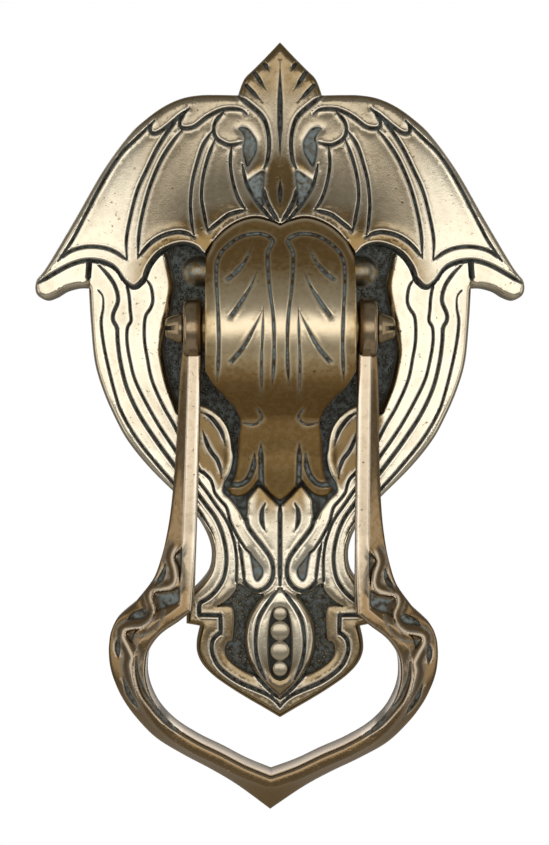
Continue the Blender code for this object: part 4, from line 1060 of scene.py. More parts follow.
def plate_marks(at):
    """The plate's marks from what lies at each point: patina, pale deposit, a brown share for age and painted
    shade, and a pale share for worn lips and painted highlights.
    """
    bare_lug = ramp(at.mound, LUG_BARE_ZONE)
    # Patina in cuts, recesses and sunk ground is real; over the side leaf and along the rolled rim it is
    # painted shade.
    patina = np.maximum.reduce([
        at.dark, GROUND_PATINA * at.sunk * (1 - LUG_BARE * bare_lug), at.cavity,
        LEAF_SHADE_PATINA * ramp(at.in_leaf, LEAF_SHADE_PATINA_ZONE), RECESS_PATINA * at.blue,
        RIM_SHADE_DARK * ramp(at.edge, RIM_SHADE_DARK_ZONE),
    ])
    leaf_foot, _ = nearest(LEAF_FOOT, at.right)
    deposit = np.maximum.reduce([
        at.blue, GROOVE_DEPOSIT * at.dark, CAVITY_DEPOSIT * at.cavity, GROUND_DEPOSIT * at.sunk,
        at.sunk * bell(leaf_foot, 0, LEAF_DEPOSIT_WIDTH),
    ])
    across, up = at.right.T
    # Painted shade: browner over the wings' inner panels and where they lift towards the barrel.
    tarnish_and_shade = WING_TARNISH + INNER_WING_SHADE * ramp(across, WEB_ZONE) + LIFT_SHADE * ramp(at.wing, LIFT_ZONE)
    # Painted shade on the crest's top.
    tarnish_and_shade += CREST_TOP_SHADE * ramp(up, CREST_TOP_UP) * ramp(across, CREST_TOP_ACROSS)
    tarnish_and_shade += CREST_FOOT_TARNISH * ramp(up, CREST_FOOT_UP) * ramp(across, CREST_FOOT_ACROSS)
    # Painted shade on the leaflets' tops and on the lower plate; the pod's upper part is spared as a painted
    # highlight.
    on_pod = ramp(at.pod, POD_BRIGHT_ZONE) * ramp(up, POD_BRIGHT_UP)
    lower = LEAFLET_TOP_SHADE * ramp(across, LEAFLET_ACROSS) * ramp(up, LEAFLET_UP)
    lower += LOW_SHADE * ramp(up, LOW_UP) * (1 - POD_BRIGHT * on_pod)
    lower += BANK_TARNISH * at.bank * (1 - at.sunk)
    tarnish_and_shade = at.over * tarnish_and_shade + (1 - at.over) * lower
    # Painted shade: browner over the side leaf and towards the plate's rolled edge.
    tarnish_and_shade += ramp(at.in_leaf, LEAF_SHADE_ZONE) + RIM_SHADE_BROWN * ramp(at.edge, RIM_SHADE_BROWN_ZONE)
    tarnish_and_shade += bare_lug * at.sunk
    # Pale on the lips and round the recesses: wear, with painted highlights along them.
    rubbed_and_highlit = (STRAP_RUB_AND_SHINE + (WING_RUB_AND_SHINE - STRAP_RUB_AND_SHINE) * at.over) * at.lip - at.sunk
    return np.column_stack([patina, deposit, np.clip(tarnish_and_shade, 0, 1), np.clip(rubbed_and_highlit, 0, 1)])


def lower_plate(at):
    """Height of the straps, the side leaves, the grounds, the pod and the lugs, as if there were no wings."""
    across, up = at.right.T
    height = np.full(len(across), STRAP_HEIGHT)
    height += (at.wing - TIP_DROP - height) * ramp(across, TIP_ZONE)
    at.in_leaf = depth_inside(LEAF_SHAPE, at.right)
    height -= LEAF_DIP * ramp(at.in_leaf, LEAF_DIP_ZONE) * ramp(across, LEAF_DIP_ACROSS)
    at.bank = ramp(depth_inside(GROUND_SHAPE, at.right), BANK_ZONE) * ramp(across, BANK_ACROSS)
    height -= BANK_DROP * at.bank**2
    at.sunk = sink(height, at.right, GROUND_SHAPE, GROUND_HEIGHT)
    at.sunk = np.maximum(at.sunk, sink(height, at.right, TONGUE_GROUND_SHAPE, TONGUE_GROUND_HEIGHT))
    at.pod = np.maximum(depth_inside(POD_SHAPE, at.right), 0)
    crown = POD_CROWN * ramp(at.pod, POD_CROWN_ZONE)
    dome = POD_FOOT + POD_RISE * ((1 - POD_CROWN) * edge_roll(at.pod, POD_ROLL) + crown)
    height = np.where(at.pod > 0, np.maximum(dome, height), height)
    at.sunk *= 1 - ramp(at.pod, POD_EDGE_ZONE)
    at.cavity = sink(height, at.right, CAVITY_SHAPE, CAVITY_HEIGHT, CAVITY_WALL)
    lug = np.hypot(np.maximum(across - LUG_MIDDLE[0], 0) / LUG_AXES[0], (up - LUG_MIDDLE[1]) / LUG_AXES[1])
    at.mound = np.clip(1 - lug**2, 0, 1)
    return np.maximum(height, GROUND_HEIGHT + LUG_RISE * at.mound)


def plate_relief(points):
    """Height of the plate's front and its marks."""
    right = on_right(points)
    at = SimpleNamespace(right=right, wing=wing_level(*right.T))
    drop, at.dark, at.lip = cut_grooves(right, PLATE_GROOVES)
    height = lower_plate(at)
    step, _ = nearest(WING_FOOT, right)
    at.over = ramp(np.where(inside(WING_SHAPE, right), step, -step), WING_STEP_ZONE)
    height += (at.wing - height) * at.over
    at.sunk *= 1 - at.over
    at.blue = np.zeros(len(points))
    for outline, depth in BLUE_RECESSES:
        floor = np.median(height[inside(outline, right)]) - depth
        at.blue = np.maximum(at.blue, sink(height, right, outline, floor))
        from_edge = depth_inside(outline, right)
        at.lip = np.maximum(at.lip, bell(from_edge, RECESS_LIP_AT, RECESS_LINE_WIDTH))
        at.dark = np.maximum(at.dark, bell(from_edge, RECESS_DARK_AT, RECESS_LINE_WIDTH))
    height -= drop * (1 - at.sunk)
    at.edge, _ = nearest(PLATE_RIM, points, closed=True)
    roll = EDGE_ROLL + (WING_ROLL - EDGE_ROLL) * at.over * ramp(right[:, 1], WING_ROLL_UP)
    height = RIM_FOOT + (height - RIM_FOOT) * edge_roll(at.edge, roll)
    return height, plate_marks(at)


def flat_back(height):
    """A back that lies at one height."""
    return lambda flat: np.full(len(flat), height)


def backplate(brass):
    """The plate with its relief, and blind holes behind for the barrel's screws."""
    rows = offset_rows(PLATE_HALF, [-offset for offset in ROLL_ROWS])
    rows += groove_rows(PLATE_GROOVES)
    recesses = [shape for shape, _ in BLUE_RECESSES]
    for outline in (GROUND_SHAPE, TONGUE_GROUND_SHAPE, POD_SHAPE, CAVITY_SHAPE, *recesses):
        rows += offset_rows(outline, EDGE_ROWS, closed=True)
    rows += offset_rows(WING_FOOT, EDGE_ROWS)
    low = np.array(LUG_MIDDLE) - LUG_AXES
    patches = [hex_grid(LUG_GRID_STEP, low, low + 2 * np.array(LUG_AXES))]
    points = relief_points(PLATE_RIM, rows, patches)
    holes = [circle((0, up), SCREW_HOLE_RADIUS) for up in SCREW_UPS]
    return casting("backplate_relief", PLATE_RIM, points, plate_relief, flat_back(0.0), brass, holes)


# Hinge barrel

BARREL_HALF = joined(BARREL_RUNS)
BARREL_RIM = both_halves(BARREL_HALF)
BARREL_ARC_POINTS = [
    (BARREL_RADIUS * math.sin(angle), PIN_HEIGHT + BARREL_RADIUS * math.cos(angle))
    for angle in map(math.radians, BARREL_ARC)
]
BARREL_PROFILE = curve(
    [*BARREL_PROFILE_TOP, *BARREL_ARC_POINTS, *BARREL_PROFILE_FOOT], BARREL_PROFILE_STEP,
)[::-1]
BARREL_GROOVES = [
    *grooves_on([BARREL_FRAME_LINE], width=0.8, depth=0.6, start=0.2, end=0.2, taper=0.06),
    *grooves_on([BARREL_SECOND_LINE], width=0.6, depth=0.4, start=0.3, end=0.2, taper=0.3),
    *grooves_on(BARREL_FEATHERS, width=1.3, depth=0.7, start=0.15, end=0.8, taper=0.85),
    *grooves_on([NECK_HOOK], width=0.5, depth=0.25, start=0.4, end=0.2),
    *grooves_on(TAIL_GROOVES, width=1.2, depth=1.0, start=0.3, end=1.0, taper=0.3),
]


def barrel_relief(points):
    """Height of the barrel's front and its marks, as for the plate."""
    right = on_right(points)
    across, up = right.T
    height = np.interp(up, BARREL_PROFILE[:, 0], BARREL_PROFILE[:, 1])
    height -= TAIL_FALL * ramp(across, TAIL_FALL_ACROSS) * ramp(up, TAIL_FALL_UP)
    drop, dark, lip = cut_grooves(right, BARREL_GROOVES)
    height = np.minimum(height - drop, PIN_HEIGHT + BARREL_RADIUS)
    edge, _ = nearest(BARREL_RIM, points, closed=True)
    tail = ramp(up, TAIL_ROLL_UP)
    roll = BARREL_ROLL + (TAIL_ROLL - BARREL_ROLL) * tail
    height -= (BARREL_ROLL_DROP + (TAIL_ROLL_DROP - BARREL_ROLL_DROP) * tail) * (1 - edge_roll(edge, roll))
    from_shine = np.abs(up - SHINE_UP)
    # Browner on the slopes and towards the sides: age mixed with painted shade.
    tarnish_and_shade = BARREL_TARNISH + SLOPE_TARNISH_AND_SHADE * ramp(from_shine, SLOPE_ZONE)
    tarnish_and_shade += SIDE_SHADE * ramp(across, BARREL_SIDE_ZONE)
    rubbed_and_highlit = np.maximum.reduce([
        # Pale lips: wear, with painted highlights near the band.
        lip * (LIP_RUB_AND_SHINE + (1 - LIP_RUB_AND_SHINE) * ramp(np.abs(up - LIP_SHINE_UP), LIP_SHINE_ZONE)),
        # Pale line on the top border: wear and painted highlight.
        RIM_RUB_AND_SHINE * bell(edge, RIM_SHINE_AT, RIM_SHINE_WIDTH) * ramp(up, RIM_SHINE_ZONE),
        # Painted highlight: the pale band across the bulge.
        SHINE * bell(from_shine, 0, SHINE_WIDTH) * ramp(across, SHINE_ACROSS),
    ])
    return height, np.column_stack([BARREL_PATINA * dark, dark, np.clip(tarnish_and_shade, 0, 1), rubbed_and_highlit])


def hinge_barrel(brass):
    """The barrel with its tail leaf."""
    rows = offset_rows(BARREL_HALF, [-offset for offset in NARROW_ROLL_ROWS])
    rows += groove_rows(BARREL_GROOVES)
    points = relief_points(BARREL_RIM, rows)
    return casting("barrel_relief", BARREL_RIM, points, barrel_relief, flat_back(BARREL_BACK), brass)


# Knocker

def knocker_edge(arm, ring):
    """One edge of the right half of the knocker, from the eye to the ring's point."""
    return joined([[(ARM_INSIDE + step, up) for step, up in run] for run in (arm, ring)])


KNOCKER_INNER = knocker_edge(ARM_INNER, RING_INNER)
KNOCKER_OUTER = knocker_edge(ARM_OUTER, RING_OUTER)
KNOCKER_RIM = np.vstack([
    KNOCKER_OUTER[:-1], KNOCKER_OUTER[::-1] * (-1, 1), KNOCKER_INNER[:-1] * (-1, 1), KNOCKER_INNER[::-1],
])
VINE_POCKET_SHAPES = [loop(points) for points in VINE_POCKETS]
VINE_RIDGE = curve(VINE_STEM)
VINE_GROOVES = grooves_on(VINE_LINES, width=1.2, depth=0.7, start=0.3, end=0.1, taper=0.4)


def ring_share(points):
    """How far the arms have passed into the ring."""
    return ramp(points[:, 1], RING_ZONE)


def vine(right):
    """The stem of the vine and the moat beside it, as shares from 0 to 1."""
    stem, along = nearest(VINE_RIDGE, right)
    ends = ramp(along, STEM_START_ZONE) * ramp(along, STEM_END_ZONE)
    return bell(stem, 0, VINE_HALF_WIDTH) * ends, bell(stem, MOAT_AWAY * VINE_HALF_WIDTH, MOAT_WIDTH) * ends


def knocker_relief(points):
    """Height of the arms' and the ring's front and its marks, as for the plate."""
    right = on_right(points)
    share = ring_share(right)
    arm = 1 - RING_SOFTER * share
    inner, _ = nearest(KNOCKER_INNER, right)
    outer, _ = nearest(KNOCKER_OUTER, right)
    slope = np.clip((inner - FACE_WIDTH) / np.maximum(inner + outer - FACE_WIDTH, LEAST_SLOPE), 0, 1)
    slope = slope - FACE_LINE_RISE * arm * bell(inner, FACE_WIDTH, FACE_LINE_WIDTH)
    chamfer = ARM_CHAMFER + (RING_CHAMFER - ARM_CHAMFER) * share
    height = ARM_FRONT + (RING_FRONT - ARM_FRONT) * share - chamfer * np.maximum(slope, 0)
    drop, dark, lip = cut_grooves(right, VINE_GROOVES)
    pockets = np.zeros(len(points))
    for outline in VINE_POCKET_SHAPES:
        sunk = sink(height.copy(), right, outline, 0)
        height -= VINE_DEPTH * sunk
        pockets = np.maximum(pockets, sunk)
    height -= drop * (1 - pockets)
    ridge, moat = vine(right)
    height += VINE_RISE * ridge - MOAT_DEPTH * moat
    height -= ARM_ROLL_DROP * (1 - edge_roll(np.minimum(inner, outer), ARM_ROLL))
    height -= RING_ROLL_DROP * share * (1 - edge_roll(inner, RING_ROLL))
    clear = 1 - ramp(ridge, STEM_CLEAN_ZONE)
    patina = clear * np.maximum.reduce([POCKET_PATINA * pockets, LINE_PATINA * dark, MOAT_PATINA * moat])
    # Painted shade along the outer edge.
    patina = np.maximum(patina, ARM_RIM_SHADE * ramp(outer, ARM_RIM_ZONE))
    deposit = clear * np.maximum.reduce([POCKET_DEPOSIT * pockets, LINE_DEPOSIT * dark, MOAT_DEPOSIT * moat])
    # Painted shade: browner on the chamfers, and towards the ring's lowest point.
    from_face = inner - CHAMFER_SHADE_START - ARM_SHADE_SHIFT * (1 - share)
    tarnish_and_shade = ARM_TARNISH + RING_TARNISH * share + CHAMFER_SHADE * ramp(from_face, CHAMFER_SHADE_ZONE)
    tarnish_and_shade += POINT_SHADE * ramp(right[:, 1], POINT_SHADE_UP)
    # Pale share: wear, with painted highlights along the edges, the stem and the lips.
    rubbed_and_highlit = np.maximum.reduce([
        arm * bell(inner, INNER_SHINE_AT, EDGE_SHINE_WIDTH),
        FACE_RUB_AND_SHINE * arm * bell(inner, FACE_WIDTH, EDGE_SHINE_WIDTH),
        STEM_RUB_AND_SHINE * ramp(ridge, STEM_SHINE_ZONE),
        VINE_LIP_RUB_AND_SHINE * lip,
    ])
    return height, np.column_stack([patina, deposit, np.clip(tarnish_and_shade, 0, 1), rubbed_and_highlit])


def knocker_back(flat):
    """Height of the arms' and the ring's back."""
    return ARM_BACK + (RING_BACK - ARM_BACK) * ring_share(flat)


def both_sides(offsets):
    """Each offset to one side and to the other."""
    return [sign * offset for offset in offsets for sign in (-1, 1)]


def knocker(brass):
    """The ring with its arms, and the two eyes."""
    rows = []
    for line in (KNOCKER_INNER, KNOCKER_OUTER):
        rows += offset_rows(line, both_sides(NARROW_ROLL_ROWS))
    rows += offset_rows(KNOCKER_INNER, both_sides([FACE_WIDTH + step for step in FACE_ROWS]))
    rows += groove_rows(VINE_GROOVES)
    for outline in VINE_POCKET_SHAPES:
        rows += offset_rows(outline, EDGE_ROWS, closed=True)
    rows += offset_rows(VINE_RIDGE, [share * VINE_HALF_WIDTH for share in STEM_ROWS])
    points = relief_points(KNOCKER_RIM, rows)
    pieces = [casting(
        "knocker_ring", KNOCKER_RIM, points, knocker_relief, knocker_back, brass, lean=KNOCKER_LEAN,
        back_patina=KNOCKER_BACK_PATINA,
    )]
    profile = [(ARM_INSIDE + step, EYE_RADIUS - cut) for step, cut in EYE_EDGE]
    profile += [(ARM_OUTSIDE - step, EYE_RADIUS - cut) for step, cut in reversed(EYE_EDGE)]
    for name, side in SIDES.items():
        pieces.append(set_marks(turned(f"{name}_eye", profile, brass, side=side), EYE_MARKS))
    return pieces


# Pin caps, fixings and small repeated pieces

def cut_away(item, low, high):
    """Cuts a box between two corners, in millimetres, out of a piece."""
    corners = [(x, y, z) for x in (low[0], high[0]) for y in (low[1], high[1]) for z in (low[2], high[2])]
    faces = [(0, 1, 3, 2), (4, 6, 7, 5), (0, 4, 5, 1), (2, 3, 7, 6), (0, 2, 6, 4), (1, 5, 7, 3)]
    tool = finished("slot_tool", mesh_from("slot_tool", corners, faces), item.data.materials[0])
    modifier = item.modifiers.new("slot", "BOOLEAN")
    modifier.operation = "DIFFERENCE"
    modifier.solver = "EXACT"
    modifier.object = tool
    made_plain(item)
    bpy.data.objects.remove(tool)


def made_plain(item):
    """Turns a piece with modifiers into a plain mesh."""
    graph = bpy.context.evaluated_depsgraph_get()
    mesh = bpy.data.meshes.new_from_object(item.evaluated_get(graph))
    item.modifiers.clear()
    item.data = mesh


def pin_cap(name, side, brass):
    """A conical cap with a slot across its end."""
    cap = turned(name, CAP_PROFILE, brass, sides=CAP_SIDES, side=side)
    ends = sorted((side * (CAP_END - CAP_SLOT_DEPTH), side * (CAP_END + CAP_SLOT_EXTRA)))
    low = (ends[0], -PIN_HEIGHT - CAP_SLOT_REACH, -CAP_SLOT / 2)
    high = (ends[1], -PIN_HEIGHT + CAP_SLOT_REACH, CAP_SLOT / 2)
    cut_away(cap, low, high)
    return set_marks(cap, CAP_MARKS)


def add(tree, kind, inputs=None, **settings):
    """Adds a node: settings go on the node, inputs are values or the sockets that feed it."""
    node = tree.nodes.new(kind)
    for name, value in settings.items():
        setattr(node, name, value)
    for key, value in (inputs or {}).items():
        if isinstance(value, bpy.types.NodeSocket):
            tree.links.new(value, node.inputs[key])
        else:
            node.inputs[key].default_value = value
    return node


def reckoned(tree, operation, *values, clamp=False):
    """The result of one sum on numbers or sockets."""
    node = add(tree, "ShaderNodeMath", dict(enumerate(values)), operation=operation, use_clamp=clamp)
    return node.outputs[0]


def new_tree(name, sizes):
    """An empty geometry tree with a named input for each size: the tree, its inputs and its output node."""
    tree = bpy.data.node_groups.new(name, "GeometryNodeTree")
    tree.interface.new_socket("Geometry", in_out="INPUT", socket_type="NodeSocketGeometry")
    for size, kind in sizes.items():
        tree.interface.new_socket(size, in_out="INPUT", socket_type=f"NodeSocket{kind}")
    tree.interface.new_socket("Material", in_out="INPUT", socket_type="NodeSocketMaterial")
    tree.interface.new_socket("Geometry", in_out="OUTPUT", socket_type="NodeSocketGeometry")
    return tree, add(tree, "NodeGroupInput").outputs, add(tree, "NodeGroupOutput")


def place_copies(tree, given, result, points, piece, **turn):
    """Ends a tree: real copies of a piece on points, with the material that the tree is given."""
    placed = add(tree, "GeometryNodeInstanceOnPoints", {"Points": points, "Instance": piece, **turn})
    real = add(tree, "GeometryNodeRealizeInstances", {"Geometry": placed.outputs[0]})
    shown = add(tree, "GeometryNodeSetMaterial", {"Geometry": real.outputs[0], "Material": given["Material"]})
    tree.links.new(shown.outputs[0], result.inputs[0])
    return tree


def grown(name, tree, carrier, material, **sizes):
    """A plain piece grown by a geometry tree on a carrier mesh."""
    item = linked(name, carrier)
    modifier = item.modifiers.new("grown", "NODES")
    modifier.node_group = tree
    sizes["Material"] = material
    for socket in tree.interface.items_tree:
        if socket.in_out == "INPUT" and socket.name in sizes:
            modifier[socket.identifier] = sizes[socket.name]
    made_plain(item)
    mesh = item.data
    bpy.data.objects.remove(item)
    return finished(name, mesh, material)


def pearl_tree():
    """One smooth ball on each point of the carrier, as large as the point's radius."""
    tree, given, result = new_tree("pearls", {"Flatness": "Float"})
    ball = add(tree, "GeometryNodeMeshUVSphere", {
        "Segments": PEARL_SEGMENTS, "Rings": PEARL_RINGS, "Radius": 1.0,
    })
    named = add(tree, "GeometryNodeInputNamedAttribute", {"Name": "radius"}, data_type="FLOAT")
    radius = named.outputs["Attribute"]
    flat = reckoned(tree, "MULTIPLY", radius, given["Flatness"])
    size = add(tree, "ShaderNodeCombineXYZ", {"X": radius, "Y": flat, "Z": radius}).outputs[0]
    return place_copies(tree, given, result, given["Geometry"], ball.outputs["Mesh"], Scale=size)


def stipple_tree():
    """Punched beads scattered over the sunk ground."""
    tree, given, result = new_tree("stippled ground", {"Spacing": "Float", "Bead": "Float", "Seed": "Int"})
    spots = add(tree, "GeometryNodeDistributePointsOnFaces", {
        "Mesh": given["Geometry"], "Distance Min": given["Spacing"], "Density Max": BEAD_DENSITY,
        "Seed": given["Seed"],
    }, distribute_method="POISSON")
    bead = add(tree, "GeometryNodeMeshIcoSphere", {"Radius": given["Bead"], "Subdivisions": 1})
    size = add(tree, "FunctionNodeRandomValue", {
        2: BEAD_SCALES[0], 3: BEAD_SCALES[1], "Seed": given["Seed"],
    }, data_type="FLOAT")
    return place_copies(
        tree, given, result, spots.outputs["Points"], bead.outputs["Mesh"], Scale=size.outputs[1],
    )


def thread_tree():
    """A threaded rod: a core with one helical ridge from end to end."""
    tree, given, result = new_tree("threaded rod", {
        "Radius": "Float", "Length": "Float", "Turns": "Float", "Depth": "Float",
    })
    core_radius = reckoned(tree, "SUBTRACT", given["Radius"], given["Depth"])
    inward = reckoned(tree, "MULTIPLY_ADD", given["Depth"], -2.0, given["Length"])
    core = add(tree, "GeometryNodeMeshCylinder", {
        "Vertices": STUD_SIDES, "Radius": core_radius, "Depth": given["Length"],
    })
    helix = add(tree, "GeometryNodeCurveSpiral", {
        "Resolution": THREAD_STEPS, "Rotations": given["Turns"], "Start Radius": core_radius,
        "End Radius": core_radius, "Height": inward,
    })
    ridge = add(tree, "GeometryNodeCurvePrimitiveCircle", {"Resolution": 4, "Radius": given["Depth"]})
    thread = add(tree, "GeometryNodeCurveToMesh", {
        "Curve": helix.outputs[0], "Profile Curve": ridge.outputs[0], "Fill Caps": True,
    })
    down = add(tree, "ShaderNodeCombineXYZ", {"Z": reckoned(tree, "MULTIPLY", inward, -0.5)})
    centred = add(tree, "GeometryNodeTransform", {
        "Geometry": thread.outputs[0], "Translation": down.outputs[0],
    })
    rod = add(tree, "GeometryNodeJoinGeometry")
    tree.links.new(core.outputs["Mesh"], rod.inputs[0])
    tree.links.new(centred.outputs[0], rod.inputs[0])
    return place_copies(tree, given, result, given["Geometry"], rod.outputs[0], Rotation=(math.pi / 2, 0, 0))


def pearls(brass):
    """The row of pearls in the pod's cavity."""
    carrier = mesh_from("pearl_places", [(0, -CAVITY_HEIGHT - PEARL_LIFT, up) for up, _ in PEARLS], [])
    radius = carrier.attributes.new("radius", "FLOAT", "POINT")
    radius.data.foreach_set("value", [size * MM for _, size in PEARLS])
    return set_marks(grown("pod_pearls", pearl_tree(), carrier, brass, Flatness=PEARL_FLATNESS), PEARL_MARKS)


def stippled_ground(name, outline, height, material):
    """Beads on both sides' sunk ground within an outline."""
    verts = []
    faces = []
    for side in (1, -1):
        flat, found, _ = triangulated([outline * (side, 1)])
        faces += [[len(verts) + i for i in face] for face in found]
        verts += [(x, -height, z) for x, z in flat]
    carrier = mesh_from(name, verts, faces)
    sizes = {"Spacing": BEAD_SPACING * MM, "Bead": BEAD_RADIUS * MM, "Seed": BEAD_SEED}
    return grown(name, stipple_tree(), carrier, material, **sizes)


def threaded_stud(name, up, steel):
    """A stud that runs straight back through the door."""
    carrier = mesh_from(name, [(0, (STUD_START + STUD_END) / 2, up)], [])
    length = STUD_END - STUD_START
    sizes = {
        "Radius": STUD_RADIUS * MM, "Length": length * MM, "Turns": length / STUD_PITCH,
        "Depth": THREAD_DEPTH * MM,
    }
    return grown(name, thread_tree(), carrier, steel, **sizes)


# Materials

def linear(colour):
    """An sRGB hex colour as linear red, green, blue and full alpha."""
    parts = [int(colour[i:i + 2], 16) / 255 for i in (1, 3, 5)]
    return (*[part / 12.92 if part <= 0.04045 else ((part + 0.055) / 1.055) ** 2.4 for part in parts], 1.0)


def new_material(name):
    """A material with its tree and its shader."""
    material = bpy.data.materials.new(name)
    material.use_nodes = True
    return material, material.node_tree, material.node_tree.nodes["Principled BSDF"]


def noise(tree, size, detail, **more):
    """Noise with clouds of about a size in millimetres, fixed to the piece."""
    place = add(tree, "ShaderNodeTexCoord").outputs["Object"]
    inputs = {"Vector": place, "Scale": 1 / (size * MM), "Detail": detail, **more}
    return add(tree, "ShaderNodeTexNoise", inputs).outputs[0]


def spread(tree, value, zone, low=0.0, high=1.0):
    """A value's zone spread out to run from low to high."""
    inputs = {"Value": value, "From Min": zone[0], "From Max": zone[1], "To Min": low, "To Max": high}
    return add(tree, "ShaderNodeMapRange", inputs).outputs[0]


def mixed(tree, share, first, second):
    """A share of the second colour over the first; a colour is a hex string or a socket."""
    under, over = [linear(colour) if isinstance(colour, str) else colour for colour in (first, second)]
    return add(tree, "ShaderNodeMixRGB", {"Fac": share, "Color1": under, "Color2": over}).outputs[0]


def bumped(tree, height, strength, depth, invert=False, **more):
    """A normal that follows a height of at most a depth in millimetres."""
    inputs = {"Height": height, "Strength": strength, "Distance": depth * MM, **more}
    return add(tree, "ShaderNodeBump", inputs, invert=invert).outputs[0]


def feed(tree, shader, inputs):
    """Gives a shader its inputs, as values or sockets."""
    for name, value in inputs.items():
        if isinstance(value, bpy.types.NodeSocket):
            tree.links.new(value, shader.inputs[name])
        else:
            shader.inputs[name].default_value = value


def brass_colour(tree, finish, stains, pits, cloud, relief, marks):
    """Colour of the brass: stained, mottled, browned for age and painted shade, marked by drops, pitted,
    paled for wear and painted highlights, blackened and crusted.
    """
    crust = spread(tree, cloud, CRUST_ZONE)
    mottle = spread(tree, cloud, MOTTLE_ZONE, high=finish.mottling)
    # The blue mark browns for age and for painted shade.
    browned_and_shaded = reckoned(tree, "MAXIMUM", stains, marks["Blue"])
    mottled = reckoned(tree, "ADD", browned_and_shaded, mottle)
    place = add(tree, "ShaderNodeTexCoord").outputs["Object"]
    drops = add(tree, "ShaderNodeTexVoronoi", {"Vector": place, "Scale": 1 / (DROP_SPACING * MM)})
    rings = reckoned(tree, "COMPARE", drops.outputs["Distance"], DROP_RADIUS, DROP_RING_WIDTH)
    dried = reckoned(tree, "MULTIPLY", rings, stains)
    brown = reckoned(tree, "MULTIPLY_ADD", dried, DROP_SHARE, mottled, clamp=True)
    colour = mixed(tree, brown, finish.bright, finish.tarnished_and_shaded)
    colour = mixed(tree, pits, colour, PIT_COLOUR)
    # The alpha mark pales for wear and for painted highlights.
    colour = mixed(tree, relief.outputs["Alpha"], colour, finish.rubbed_and_highlit)
    colour = mixed(tree, marks["Red"], colour, PATINA_COLOUR)
    return mixed(tree, reckoned(tree, "MULTIPLY", marks["Green"], crust), colour, DEPOSIT_COLOUR)


def cast_brass(name, finish):
    """Sand-cast brass, worn by hands and left to age: bright on its ridges, where highlights are also
    painted, brown in between, where shade is also painted, nearly black with a pale bluish deposit in its
    cuts, with fine casting pits all over."""
    material, tree, shader = new_material(name)
    relief = add(tree, "ShaderNodeAttribute", attribute_name="relief")
    marks = add(tree, "ShaderNodeSeparateColor", {"Color": relief.outputs["Color"]}).outputs
    stain = noise(tree, STAIN_SIZE, detail=6.0, Roughness=STAIN_ROUGHNESS)
    stains = spread(tree, stain, STAIN_ZONE, high=finish.stained)
    pits = spread(tree, noise(tree, PIT_SIZE, detail=2.0), PIT_ZONE, high=PIT_SHARE)
    cloud = noise(tree, DEPOSIT_SIZE, detail=4.0)
    dull = spread(tree, marks["Red"], WHOLE, finish.roughness, PATINA_ROUGHNESS)
    uneven = reckoned(tree, "MULTIPLY_ADD", stain, ROUGHNESS_SPREAD, dull)
    fine = bumped(tree, noise(tree, GRAIN_SIZE, detail=3.0), GRAIN_STRENGTH, GRAIN_DEPTH)
    feed(tree, shader, {
        "Base Color": brass_colour(tree, finish, stains, pits, cloud, relief, marks),
        "Metallic": spread(tree, marks["Red"], WHOLE, 1.0, PATINA_METALLIC),
        "Roughness": reckoned(tree, "SUBTRACT", uneven, ROUGHNESS_SPREAD / 2, clamp=True),
        "Normal": bumped(tree, pits, PIT_STRENGTH, PIT_DEPTH, invert=True, Normal=fine),
    })
    return material


def oiled_steel():
    """Turned mild steel, blued and oiled: dark grey with rust-brown clouding and fine tool marks."""
    material, tree, shader = new_material("oiled mild steel")
    cloud = noise(tree, RUST_SIZE, detail=5.0)
    rust = spread(tree, cloud, RUST_ZONE, high=RUST_SHARE)
    feed(tree, shader, {
        "Base Color": mixed(tree, rust, STEEL_COLOUR, RUST_COLOUR),
        "Metallic": 1.0,
        "Roughness": spread(tree, cloud, WHOLE, *STEEL_ROUGHNESS),
        "Normal": bumped(tree, noise(tree, TOOL_MARK_SIZE, detail=2.0), TOOL_MARK_STRENGTH, TOOL_MARK_DEPTH),
    })
    return material


def punched_patina(name, black, bloomed):
    """Sunk ground that was punched and left to blacken: dull, with a paler bloom in clouds of noise."""
    material, tree, shader = new_material(name)
    bloom = spread(tree, noise(tree, BLOOM_SIZE, detail=4.0), BLOOM_ZONE, high=BLOOM_SHARE)
    feed(tree, shader, {
        "Base Color": mixed(tree, bloom, black, bloomed), "Metallic": GROUND_METALLIC,
        "Roughness": GROUND_ROUGHNESS,
    })
    return material


# Stage, light and camera

def aimed(item, place, target):
    """Puts a camera or lamp in its place and turns it to a target."""
    item.location = place
    item.rotation_euler = (Vector(target) - Vector(place)).to_track_quat("-Z", "Y").to_euler()
    return item


def camera():
    """A short telephoto half a metre in front, a little above the middle of the plate."""
    data = bpy.data.cameras.new("camera")
    data.lens = CAMERA_LENS
    bpy.context.scene.camera = aimed(linked("camera", data), CAMERA_PLACE, CAMERA_AIM)


def soft_light(name, place, target, wide, tall, brightness, colour):
    """A soft box whose face has the given brightness."""
    data = bpy.data.lights.new(name, "AREA")
    data.shape = "RECTANGLE"
    data.size = wide
    data.size_y = tall
    data.energy = brightness * math.pi * wide * tall
    data.color = linear(colour)[:3]
    aimed(linked(name, data), place, target).visible_camera = False


def stage_object(name, corners, place, material):
    """A flat stage piece from its corners."""
    mesh = bpy.data.meshes.new(name)
    mesh.from_pydata([Vector(corner) + Vector(place) for corner in corners], [], [range(len(corners))])
    mesh.materials.append(material)
    linked(name, mesh)


def pale_paint(name):
    """Matt pale paint."""
    material, tree, shader = new_material(name)
    feed(tree, shader, {"Base Color": linear(STAGE_COLOUR), "Roughness": STAGE_ROUGHNESS})
    return material


